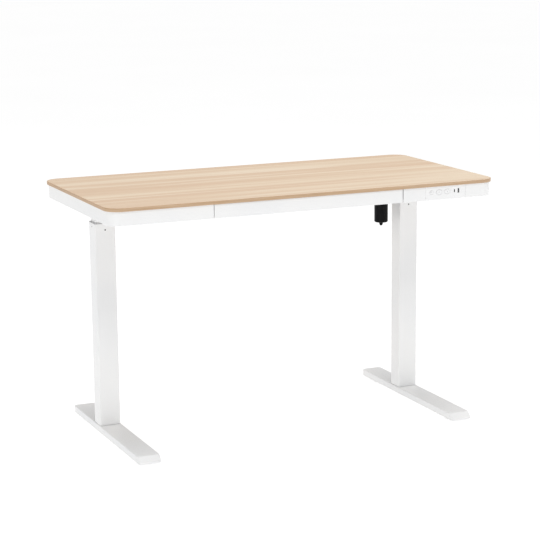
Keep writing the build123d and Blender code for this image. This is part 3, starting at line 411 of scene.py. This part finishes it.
# %% [markdown]
# ## Geometry Nodes for what repeats
# Screws, ribs, louvres, contacts and threads are one small shape many times over. A node tree says that once:
# put this shape on these points, at this size. Its sizes are named inputs, set through each socket's own
# identifier. The result is read back as a plain mesh, so nothing is left to evaluate when the desk moves.

# %% A node tree in the making, and its result as a mesh
SOCKETS = {float: "NodeSocketFloat", int: "NodeSocketInt", bpy.types.Object: "NodeSocketObject",
           bpy.types.Material: "NodeSocketMaterial"}


class Pattern:
    """A Geometry Nodes tree whose inputs are named sizes."""

    def __init__(self, name, **inputs):
        self.tree = bpy.data.node_groups.new(name, "GeometryNodeTree")
        face = self.tree.interface
        face.new_socket("Geometry", in_out="INPUT", socket_type="NodeSocketGeometry")
        self.names = {label: face.new_socket(label, in_out="INPUT", socket_type=SOCKETS[kind]).identifier
                      for label, kind in inputs.items()}
        face.new_socket("Geometry", in_out="OUTPUT", socket_type="NodeSocketGeometry")
        self.given = self.tree.nodes.new("NodeGroupInput").outputs
        self.result = self.tree.nodes.new("NodeGroupOutput").inputs["Geometry"]

    def node(self, kind, links=(), prefix="GeometryNode", **settings):
        node = self.tree.nodes.new(prefix + kind)
        for key, value in settings.items():
            setattr(node, key, value)
        for socket, value in links:
            if isinstance(value, bpy.types.NodeSocket):
                self.tree.links.new(value, node.inputs[socket])
            else:
                node.inputs[socket].default_value = value
        return node

    def close(self, geometry):
        """Every tree ends in real geometry with its finish set."""
        real = self.node("RealizeInstances", [("Geometry", geometry)]).outputs[0]
        painted = self.node("SetMaterial", [("Geometry", real), ("Material", self.given["Finish"])])
        self.tree.links.new(painted.outputs[0], self.result)

    def made(self, name, points=(), **values):
        """Runs the tree on some points and returns what it makes as a mesh."""
        seed_mesh = bpy.data.meshes.new(name + "_points")
        seed_mesh.from_pydata([tuple(p) for p in points], [], [])
        host = bpy.data.objects.new(name + "_host", seed_mesh)
        scene.collection.objects.link(host)
        modifier = host.modifiers.new("pattern", "NODES")
        modifier.node_group = self.tree
        for label, value in values.items():
            modifier[self.names[label]] = value
        result = bpy.data.meshes.new_from_object(host.evaluated_get(bpy.context.evaluated_depsgraph_get()))
        host.modifiers.remove(modifier)
        bpy.data.objects.remove(host)
        result.name = name
        return result


# %% The shapes that are repeated, and the tree that sets them out
def model(name, build):
    """A small model that trees copy; it is not linked to the scene, so it is no part of the desk."""
    bm = bmesh.new()
    build(bm)
    return bpy.data.objects.new(name, mesh_of(name, bm))


def set_out():
    """Puts one model on every point, all turned alike or each turned at random about Z."""
    tree = Pattern("set_out", Model=bpy.types.Object, Size=float, Swing=float, Seed=int,
                   Finish=bpy.types.Material)
    source = tree.node("ObjectInfo", [("Object", tree.given["Model"])], transform_space="ORIGINAL")
    turn = tree.node("CombineXYZ", [("Z", tree.given["Swing"])], "ShaderNode").outputs[0]
    spin = tree.node("RandomValue", [("Max", turn), ("Seed", tree.given["Seed"])], "FunctionNode",
                     data_type="FLOAT_VECTOR")
    spin.inputs["Min"].default_value = (0, 0, 0)
    points = tree.node("MeshToPoints", [("Mesh", tree.given["Geometry"])]).outputs[0]
    copies = tree.node("InstanceOnPoints", [("Points", points), ("Instance", source.outputs["Geometry"]),
                                            ("Rotation", spin.outputs[0]), ("Scale", tree.given["Size"])])
    tree.close(copies.outputs[0])
    return tree


SET_OUT = set_out()

# %% [markdown]
# ## Screws
# The frame's screws are button heads with a hexagonal socket, driven up from below. Each one's place and
# size is read from the frame: the node is split into its separate islands, and every island's box gives a
# centre and a head. The new heads are domed and their sockets have six clean walls.


# %% Read the screws' places and set out domed heads
def islands(node):
    """The boxes of a node's separate solids, as (low, high) corners."""
    bm = bmesh.new()
    bm.from_mesh(NODES[node].data)
    bmesh.ops.remove_doubles(bm, verts=bm.verts, dist=0.00001)
    left, boxes = set(bm.verts), []
    while left:
        group, edge = set(), [left.pop()]
        while edge:
            vert = edge.pop()
            group.add(vert)
            for link in vert.link_edges:
                other = link.other_vert(vert)
                if other in left:
                    left.discard(other)
                    edge.append(other)
        boxes.append([Vector(pick(v.co[i] for v in group) for i in range(3)) for pick in (min, max)])
    bm.free()
    return boxes


HEAD_R, HEAD_H, KEY = 4.5 * MM, 2.5 * MM, 3.4 * MM
SMALL_HEAD_R, SMALL_SIZE = 3.5 * MM, 0.78
DOME_ANGLES = (0.62, 0.85, 1.1, 1.35)


def button_head(bm, r=HEAD_R, h=HEAD_H, key=KEY):
    """A head that looks down: its dome is below, its shank rises from it."""
    dome = [(r * math.sin(a), -h * math.cos(a) * 0.86) for a in DOME_ANGLES]
    socket = [(0, -h * 0.3), (hexagon(key), -h * 0.3)]
    socket += [(hexagon(key), -h * 0.62), (hexagon(key * 1.06), -h * 0.70)]
    shank = [(r * 0.55, 0), (r * 0.55, 2 * MM), (0, 2 * MM)]
    lathe(bm, socket + dome + [(r, -h * 0.16), (r, 0)] + shank, turns=36)


def make_screws():
    head = model("button_head", button_head)
    boxes = islands("frame_screws")
    kinds = (("frame_screw_heads", HEAD_R, 1.0), ("gearbox_screw_heads", SMALL_HEAD_R, SMALL_SIZE))
    for label, wanted, size in kinds:
        places = [((a.x + b.x) / 2, (a.y + b.y) / 2, a.z + HEAD_H * size) for a, b in boxes
                  if abs((b.x - a.x) / 2 - wanted) < 0.3 * MM]
        mesh = SET_OUT.made(label, places, Model=head, Size=size, Swing=TURN, Seed=7,
                            Finish=FINISHES["bright_steel"])
        dress(label, mesh, "bright_steel", "desk", ("frame_screws",))
        print(label, len(places))


make_screws()

# %% [markdown]
# ## Levelling feet
# Each foot stands on two black nylon pads with a hexagon for the spanner and a steel stem that screws into
# the foot. The rim of a real pad is ribbed so that fingers can turn it. The pad is turned on the lathe, the
# ribs are set out round it, and a spiral swept by a small square on its corner makes the stem's thread.


# %% The thread tree
def thread():
    tree = Pattern("thread", Radius=float, Pitch=float, Turns=float, Ridge=float, Finish=bpy.types.Material)
    height = tree.node("Math", [(0, tree.given["Pitch"]), (1, tree.given["Turns"])], "ShaderNode",
                       operation="MULTIPLY").outputs[0]
    radius, turns = tree.given["Radius"], tree.given["Turns"]
    path = tree.node("CurveSpiral", [("Resolution", 20), ("Rotations", turns), ("Height", height),
                                     ("Start Radius", radius), ("End Radius", radius)])
    ridge = tree.node("CurvePrimitiveCircle", [("Resolution", 4), ("Radius", tree.given["Ridge"])])
    swept = tree.node("CurveToMesh", [("Curve", path.outputs[0]), ("Profile Curve", ridge.outputs[0]),
                                      ("Fill Caps", True)])
    tree.close(swept.outputs[0])
    return tree


THREAD = thread()


# %% Pads with ribbed rims, and threaded stems
PAD_RIBS, RIB_INSET = 40, 0.8 * MM
SPANNER, PAD_TOP, SPANNER_TOP = 13 * MM, 5 * MM, 6.6 * MM
STEM_R, STEM_TIP_R, STEM_LOW, STEM_EASE = 3.35 * MM, 2.6 * MM, 6 * MM, 1 * MM
THREAD_R, THREAD_PITCH, THREAD_RIDGE = 3.4 * MM, 1.25 * MM, 0.5 * MM
THREAD_START, THREAD_LESS = 7 * MM, 8 * MM      # where it begins, and the top's height less its length


def rim_rib(bm):
    lathe(bm, [(0, 0.9 * MM), (0.8 * MM, 0.9 * MM), (0.8 * MM, 3.0 * MM), (0, 3.4 * MM)], turns=8)


def pad_outline(r):
    """Underside hollow, rim, crown and spanner hexagon, from bottom to top."""
    edge = [(0, 0.8 * MM), (r * 0.55, 0.8 * MM), (r * 0.6, 0), (r - 1.4 * MM, 0), (r - 0.9 * MM, 0.3 * MM)]
    crown = [(r - 0.9 * MM, 3.2 * MM), (r - 1.8 * MM, 4.4 * MM), (r - 4 * MM, 4.9 * MM), (12 * MM, PAD_TOP)]
    spanner = [(hexagon(SPANNER), PAD_TOP), (hexagon(SPANNER), 6.2 * MM), (hexagon(12 * MM), SPANNER_TOP)]
    return edge + crown + spanner + [(4 * MM, SPANNER_TOP), (0, SPANNER_TOP)]


def make_leveller(body, rib):
    low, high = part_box(body)
    x, y = (low.x + high.x) / 2, (low.y + high.y) / 2
    r = (high.x - low.x) / 2
    pad = bmesh.new()
    lathe(pad, pad_outline(r), (x, y, 0), turns=72)
    dress(f"{body}_pad", mesh_of("pad", pad), "dark_plastic", body, (body,))
    rim = r - RIB_INSET
    angles = [TURN * i / PAD_RIBS for i in range(PAD_RIBS)]
    spots = [(x + rim * math.cos(angle), y + rim * math.sin(angle), 0) for angle in angles]
    ribs = SET_OUT.made(f"{body}_ribs", spots, Model=rib, Size=1.0, Swing=0.0, Seed=1,
                        Finish=FINISHES["dark_plastic"])
    dress(f"{body}_ribs", ribs, "dark_plastic", body)
    top = high.z - 0.2 * MM
    stem = bmesh.new()
    outline = [(0, STEM_LOW), (STEM_R, STEM_LOW), (STEM_R, top - STEM_EASE), (STEM_TIP_R, top), (0, top)]
    lathe(stem, outline, (x, y, 0), 32)
    dress(f"{body}_stem", mesh_of("stem", stem), "bright_steel", body)
    coil = THREAD.made(f"{body}_thread", Radius=THREAD_R, Pitch=THREAD_PITCH,
                       Turns=(top - THREAD_LESS) / THREAD_PITCH, Ridge=THREAD_RIDGE,
                       Finish=FINISHES["bright_steel"])
    coil.transform(Matrix.Translation((x, y, THREAD_START)))
    dress(f"{body}_thread", coil, "bright_steel", body)


def make_levellers():
    rib = model("rim_rib", rim_rib)
    for side in ("left", "right"):
        for place in ("front", "rear"):
            make_leveller(f"{side}_{place}_leveller", rib)


make_levellers()

# %% [markdown]
# ## Marks on the buttons
# The three buttons carry a thin printed ring just inside their edge and a plain mark: a dot for the stored
# height and arrowheads for up and down. Each is a layer of ink a few hundredths of a millimetre thick that
# rides on its own button, so it travels when the button is pressed.

# %% Rings and arrowheads
INK = 0.04 * MM
CAP_FLANGE = 1.2 * MM           # the cap's hidden rim, behind the panel
RING_INSET, RING_LINE, RING_STEPS = 0.7 * MM, 0.45 * MM, 64
DOT_R, DOT_STEPS = 1.1 * MM, 24
ARROW_HALF, ARROW_RISE, ARROW_LINE = 2.2 * MM, 1.8 * MM, 1.0 * MM


def ring_of_ink(bm, x, z, wide, high, y, line):
    """A flat oval ring that faces the user."""
    layers = []
    angles = [TURN * i / RING_STEPS for i in range(RING_STEPS)]
    for inset, depth in ((0, 0), (0, -INK), (line, -INK), (line, 0)):
        layers.append([bm.verts.new((x + (wide / 2 - inset) * math.cos(angle), y + depth,
                                     z + (high / 2 - inset) * math.sin(angle))) for angle in angles])
    for here, there in zip(layers, layers[1:] + layers[:1]):
        for i in range(RING_STEPS):
            j = (i + 1) % RING_STEPS
            bm.faces.new((here[i], here[j], there[j], there[i]))


def patch_of_ink(bm, corners, y):
    """A flat shape with any number of corners (x, z), as a thin prism."""
    back = [bm.verts.new((x, y, z)) for x, z in corners]
    front = [bm.verts.new((x, y - INK, z)) for x, z in corners]
    bm.faces.new(back)
    bm.faces.new(front[::-1])
    for i in range(len(corners)):
        j = (i + 1) % len(corners)
        bm.faces.new((back[j], back[i], front[i], front[j]))


def arrowhead(x, z, up):
    """The six corners of a plain arrowhead; up is 1 or -1."""
    w, h, t = ARROW_HALF, ARROW_RISE * up, ARROW_LINE * up
    return [(x - w, z - h), (x, z + h - t), (x + w, z - h),
            (x + w, z - h + t * 1.3), (x, z + h + t * 0.3), (x - w, z - h + t * 1.3)]


def make_button_marks():
    for name, points_up in (("preset_button", None), ("up_button", 1), ("down_button", -1)):
        low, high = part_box(name)
        x, z = (low.x + high.x) / 2, (low.z + high.z) / 2
        inset = 2 * (CAP_FLANGE + RING_INSET)
        bm = bmesh.new()
        ring_of_ink(bm, x, z, high.x - low.x - inset, high.z - low.z - inset, low.y, RING_LINE)
        if points_up is None:
            angles = [TURN * i / DOT_STEPS for i in range(DOT_STEPS)]
            patch_of_ink(bm, [(x + DOT_R * math.cos(a), z + DOT_R * math.sin(a)) for a in angles], low.y)
        else:
            patch_of_ink(bm, arrowhead(x, z, points_up), low.y)
        dress(name + "_mark", mesh_of(name + "_mark", bm), "grey_print", name)


make_button_marks()

# %% [markdown]
# ## USB sockets
# A socket is a thin steel shell, a dark plastic sheet that covers the shell's inside as painted shade, and a
# tongue with contacts. The shells stay thin, so from the front a socket is mostly a dark mouth of painted
# shade with a grey tongue in it.


# %% Shells, dark sheets of painted shade, and tongues
SHELL_T, SHADE_LINING_T, SHADE_LINING_FIT = 0.25 * MM, 0.2 * MM, 0.52 * MM
BACK_WALL, TIGHTEST, CORNER_STEPS = 0.8 * MM, 0.15 * MM, 6
SHADE_LINING_IN, TONGUE_IN, CONTACT_IN = 0.5 * MM, 1.2 * MM, 0.6 * MM     # two from the mouth, one from the tip
SHADE_LINING_END, TONGUE_END, TONGUE_ROUND = 0.81 * MM, 1.7 * MM, 0.12 * MM
USB = {
    "usb_c_socket": {"round_r": 1.55 * MM, "thick": 0.7 * MM, "tall": 6.6 * MM, "side": 0.0,
                     "count": 7, "pitch": 0.8 * MM},
    "usb_a_socket": {"round_r": 0.5 * MM, "thick": 1.9 * MM, "tall": 11.0 * MM, "side": -0.9 * MM,
                     "count": 4, "pitch": 2.4 * MM}}


def tunnel(bm, wide, high, round_r, wall, x, z, y0, y1):
    """An open tunnel along Y with rounded corners: outside, inside and a back wall."""
    def outline(inset, y):
        w, h, r = wide / 2 - inset, high / 2 - inset, max(round_r - inset, TIGHTEST)
        spots = []
        for k, (sx, sz) in enumerate(((1, 1), (-1, 1), (-1, -1), (1, -1))):
            for i in range(CORNER_STEPS + 1):
                a = TURN / 4 * (k + i / CORNER_STEPS)
                spot = (x + sx * (w - r) + r * math.cos(a), y, z + sz * (h - r) + r * math.sin(a))
                spots.append(bm.verts.new(spot))
        return spots
    loops = [outline(0, y1), outline(0, y0), outline(wall, y0), outline(wall, y1 - BACK_WALL)]
    for here, there in zip(loops, loops[1:]):
        for i in range(len(here)):
            j = (i + 1) % len(here)
            bm.faces.new((here[i], here[j], there[j], there[i]))
    bm.faces.new(loops[0])
    bm.faces.new(loops[-1])


def contact_strip(bm):
    brick(bm, (-0.06 * MM, 0, -0.35 * MM), (0.06 * MM, 4 * MM, 0.35 * MM))


def make_usb():
    contact = model("contact", contact_strip)
    for name, size in USB.items():
        low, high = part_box(name)
        x, z = (low.x + high.x) / 2, (low.z + high.z) / 2
        wide, hgt = high.x - low.x, high.z - low.z
        round_r, thick, tall, side = size["round_r"], size["thick"], size["tall"], size["side"]
        shell, shade_lining, tongue = bmesh.new(), bmesh.new(), bmesh.new()
        tunnel(shell, wide, hgt, round_r, SHELL_T, x, z, low.y, high.y)
        # The dark sheet inside each shell is painted shade: it covers the shell's inside, which would
        # otherwise lie in shade.
        tunnel(shade_lining, wide - SHADE_LINING_FIT, hgt - SHADE_LINING_FIT, round_r, SHADE_LINING_T, x, z,
               low.y + SHADE_LINING_IN, high.y - SHADE_LINING_END)
        tip = low.y + TONGUE_IN
        brick(tongue, (x + side - thick / 2, tip, z - tall / 2),
              (x + side + thick / 2, high.y - TONGUE_END, z + tall / 2), TONGUE_ROUND)
        dress(name + "_shell", mesh_of("shell", shell), "bright_steel", "desk", (name,))
        dress(name + "_lining", mesh_of("shade_lining", shade_lining), "dark_plastic", "desk")
        dress(name + "_tongue", mesh_of("tongue", tongue), "grey_plastic" if side else "dark_plastic", "desk")
        edge = x + side + thick / 2
        count, pitch = size["count"], size["pitch"]
        spots = [(edge, tip + CONTACT_IN, z + (i - (count - 1) / 2) * pitch) for i in range(count)]
        mesh = SET_OUT.made(name + "_contacts", spots, Model=contact, Size=1.0, Swing=0.0, Seed=1,
                            Finish=FINISHES["gold_contact"])
        dress(name + "_contacts", mesh, "gold_contact", "desk")


make_usb()

# %% [markdown]
# ## Under the desk
# The control box is a moulded tray. Its underside has rows of cooling louvres and four screws. The mains
# inlet has two bright pins, and a cable tie holds the panel's lead against the cross tube.


# %% Louvres, pins and tie
LOUVRE_ENDS = ((9 * MM, 0.0), (8.2 * MM, 0.75), (7 * MM, 1.0))      # distance from the middle, share of depth
LOUVRE_HALF, LOUVRE_DEEP, LOUVRE_STEPS = 1.4 * MM, 0.8 * MM, 8
LOUVRE_COLUMNS, LOUVRE_ROWS = 6, 8
LOUVRE_START, LOUVRE_STEP = (40 * MM, 16 * MM), (24 * MM, 5 * MM)
BOX_SCREW_INSET, BOX_SCREW_SIZE = 9 * MM, 0.8


def louvre(bm):
    """A pressed half-round rib that stands a little below the surface."""
    rows = []
    stations = [(-x, grow) for x, grow in LOUVRE_ENDS] + [(x, grow) for x, grow in reversed(LOUVRE_ENDS)]
    angles = [math.pi * i / LOUVRE_STEPS for i in range(LOUVRE_STEPS + 1)]
    for x, grow in stations:
        rows.append([bm.verts.new((x, LOUVRE_HALF * math.cos(angle) * (0.6 + 0.4 * grow),
                                   -LOUVRE_DEEP * grow * math.sin(angle))) for angle in angles])
    for here, there in zip(rows, rows[1:]):
        for i in range(LOUVRE_STEPS):
            bm.faces.new((here[i], here[i + 1], there[i + 1], there[i]))
        bm.faces.new((here[-1], here[0], there[0], there[-1]))
    bmesh.ops.remove_doubles(bm, verts=bm.verts, dist=0.000001)


def make_control_box_details():
    low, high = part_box("control_box_base")
    rib = model("louvre", louvre)
    (start_x, start_y), (step_x, step_y) = LOUVRE_START, LOUVRE_STEP
    spots = [(low.x + start_x + column * step_x, low.y + start_y + row * step_y, low.z)
             for column in range(LOUVRE_COLUMNS) for row in range(LOUVRE_ROWS)]
    mesh = SET_OUT.made("control_box_louvres", spots, Model=rib, Size=1.0, Swing=0.0, Seed=1,
                        Finish=FINISHES["dark_plastic"])
    dress("control_box_louvres", mesh, "dark_plastic", "desk")
    inset = BOX_SCREW_INSET
    corners = [(x, y, low.z - 0.01 * MM) for x in (low.x + inset, high.x - inset)
               for y in (low.y + inset, high.y - inset)]
    head = model("pan_head", button_head)
    mesh = SET_OUT.made("control_box_screws", corners, Model=head, Size=BOX_SCREW_SIZE, Swing=TURN, Seed=11,
                        Finish=FINISHES["bright_steel"])
    dress("control_box_screws", mesh, "bright_steel", "desk")


PIN_SPREAD = 4.3 * MM           # each pin from the middle of the inlet
PIN = [(1.22 * MM, -14 * MM), (1.22 * MM, -4.6 * MM), (0.9 * MM, -3.7 * MM), (0.4 * MM, -3.45 * MM),
       (0, -3.4 * MM)]


def make_inlet_pins():
    low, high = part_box("power_inlet")
    x, z = (low.x + high.x) / 2, (low.z + high.z) / 2
    bm = bmesh.new()
    facing = Matrix.Rotation(-TURN / 4, 3, "X")
    for side in (-1, 1):
        lathe(bm, PIN, (x + side * PIN_SPREAD, high.y, z), 24, facing)
    dress("inlet_pins", mesh_of("inlet_pins", bm), "bright_steel", "desk")


STRAP_GAP, STRAP_HALF, STRAP_T = 1.0 * MM, 1.8 * MM, 0.9 * MM
STRAP_FLAT, STRAP_FROM_END = 5 * MM, 2 * MM
LOCK_HALF, LOCK_DEEP, LOCK_Z, LOCK_ROUND = 3 * MM, 5 * MM, (8 * MM, 13 * MM), 0.5 * MM


def make_cable_tie():
    """A strap round the cross tube and the lead below it, with its square lock."""
    tube_low, tube_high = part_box("cross_tube")
    lead_low, lead_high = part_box("panel_lead")
    x = lead_low.x + STRAP_FROM_END
    y0, y1, z0, z1 = tube_low.y, tube_high.y, lead_low.z, tube_high.z
    mid = (y0 + y1) / 2
    left, right, under = y0 - STRAP_GAP, y1 + STRAP_GAP, z0 - STRAP_GAP
    route = [(left, z1 - 2 * MM), (y0 + 1 * MM, z1 + STRAP_GAP), (y1 - 1 * MM, z1 + STRAP_GAP),
             (right, z1 - 2 * MM), (right, tube_low.z + 2 * MM), (mid + STRAP_FLAT, under),
             (mid - STRAP_FLAT, under), (left, tube_low.z + 2 * MM)]

    def outwards(y, z):
        """Which way the strap's outer face lies from a point of the route, along Y and Z."""
        along_y = (1 if y > mid else -1) * (abs(y - mid) > 8 * MM)
        return along_y, 1 if z > z1 - 4 * MM else -1 if z < tube_low.z else 0

    bm = bmesh.new()
    loops = []
    for grow, dx in ((0, -STRAP_HALF), (0, STRAP_HALF), (STRAP_T, STRAP_HALF), (STRAP_T, -STRAP_HALF)):
        loops.append([bm.verts.new((x + dx, y + grow * outwards(y, z)[0], z + grow * outwards(y, z)[1]))
                      for y, z in route])
    for here, there in zip(loops, loops[1:] + loops[:1]):
        for i in range(len(route)):
            j = (i + 1) % len(route)
            bm.faces.new((here[i], here[j], there[j], there[i]))
    brick(bm, (x - LOCK_HALF, y0 - LOCK_DEEP, tube_low.z + LOCK_Z[0]),
          (x + LOCK_HALF, y0 - 1.1 * MM, tube_low.z + LOCK_Z[1]), LOCK_ROUND)
    dress("cable_tie", mesh_of("cable_tie", bm), "dark_plastic", "desk")


make_control_box_details()
make_inlet_pins()
make_cable_tie()

# %% [markdown]
# ## Floor and light
# The room is a white sweep. The floor is pale and glows a little, like a light table, so that the shadow
# under the desk stays soft and thin. A wide softbox hangs over the desk and a second one is high in front.
# A third stands at the front left, where it brightens the rounded corner of the frame most. One on each side
# reaches under the top to the feet, a narrow strip at the right edges the columns, and the sky fills in.


# %% Floor
FLOOR_REACH, FLOOR_GLOW = 60.0, 0.78


def stage_floor():
    floor_mesh = bpy.data.meshes.new("floor")
    corners = [(x * FLOOR_REACH, y * FLOOR_REACH, 0) for x, y in ((-1, -1), (1, -1), (1, 1), (-1, 1))]
    floor_mesh.from_pydata(corners, [], [(0, 1, 2, 3)])
    floor = bpy.data.objects.new("floor", floor_mesh)
    scene.collection.objects.link(floor)
    pale = Finish("pale_floor", Specular_IOR_Level=0.1, Roughness=0.9, Emission_Strength=FLOOR_GLOW)
    pale.shader.inputs["Emission Color"].default_value = (1, 1, 1, 1)
    cloud = pale.noise(0.8, None, 2.0)
    tone = pale.ramp(cloud, (0.3, (0.40, 0.40, 0.40)), (0.7, (0.42, 0.42, 0.42)))
    floor_mesh.materials.append(pale.finish(tone))


stage_floor()


# %% Lights
def softbox(name, at, aim, size, power):
    """A rectangular light of a size in metres and a power in watts."""
    lamp = bpy.data.lights.new(name, "AREA")
    lamp.shape, lamp.size, lamp.size_y = "RECTANGLE", *size
    lamp.energy = power
    holder = bpy.data.objects.new(name, lamp)
    holder.location = at
    holder.rotation_euler = (Vector(aim) - Vector(at)).to_track_quat("-Z", "Y").to_euler()
    scene.collection.objects.link(holder)
    print("light", name, power, "W")


softbox("overhead", (0.2, 0.1, 4.2), (0, 0, 0.5), (2.8, 2.4), 92)
softbox("front_high", (-0.3, -3.2, 4.0), (0, 0, 0.2), (2.6, 1.2), 44)
softbox("front_left", (-2.8, -2.9, 0.9), (0, 0, 0.35), (1.6, 1.8), 13)
softbox("left_side", (-2.6, 0.4, 1.9), (-0.5, 0, 0), (1.0, 1.0), 8)
softbox("right_side", (2.6, 0.1, 1.9), (0.5, 0, 0), (1.0, 1.0), 12)
softbox("right_strip", (2.2, -2.4, 0.9), (0.4, 0, 0.4), (0.3, 1.6), 4)


# %% White room
def white_room(fill):
    """Lights the desk from all round, and shows plain white where the camera looks past the floor."""
    world = bpy.data.worlds.new("studio")
    world.use_nodes = True
    tree = world.node_tree
    seen = tree.nodes.new("ShaderNodeLightPath").outputs["Is Camera Ray"]
    strength = tree.nodes.new("ShaderNodeMapRange")
    strength.inputs["To Min"].default_value = fill
    tree.links.new(seen, strength.inputs["Value"])
    tree.nodes["Background"].inputs["Color"].default_value = (1, 1, 1, 1)
    tree.links.new(strength.outputs["Result"], tree.nodes["Background"].inputs["Strength"])
    scene.world = world
    print("world", world.name, "fill", fill)


white_room(fill=0.48)
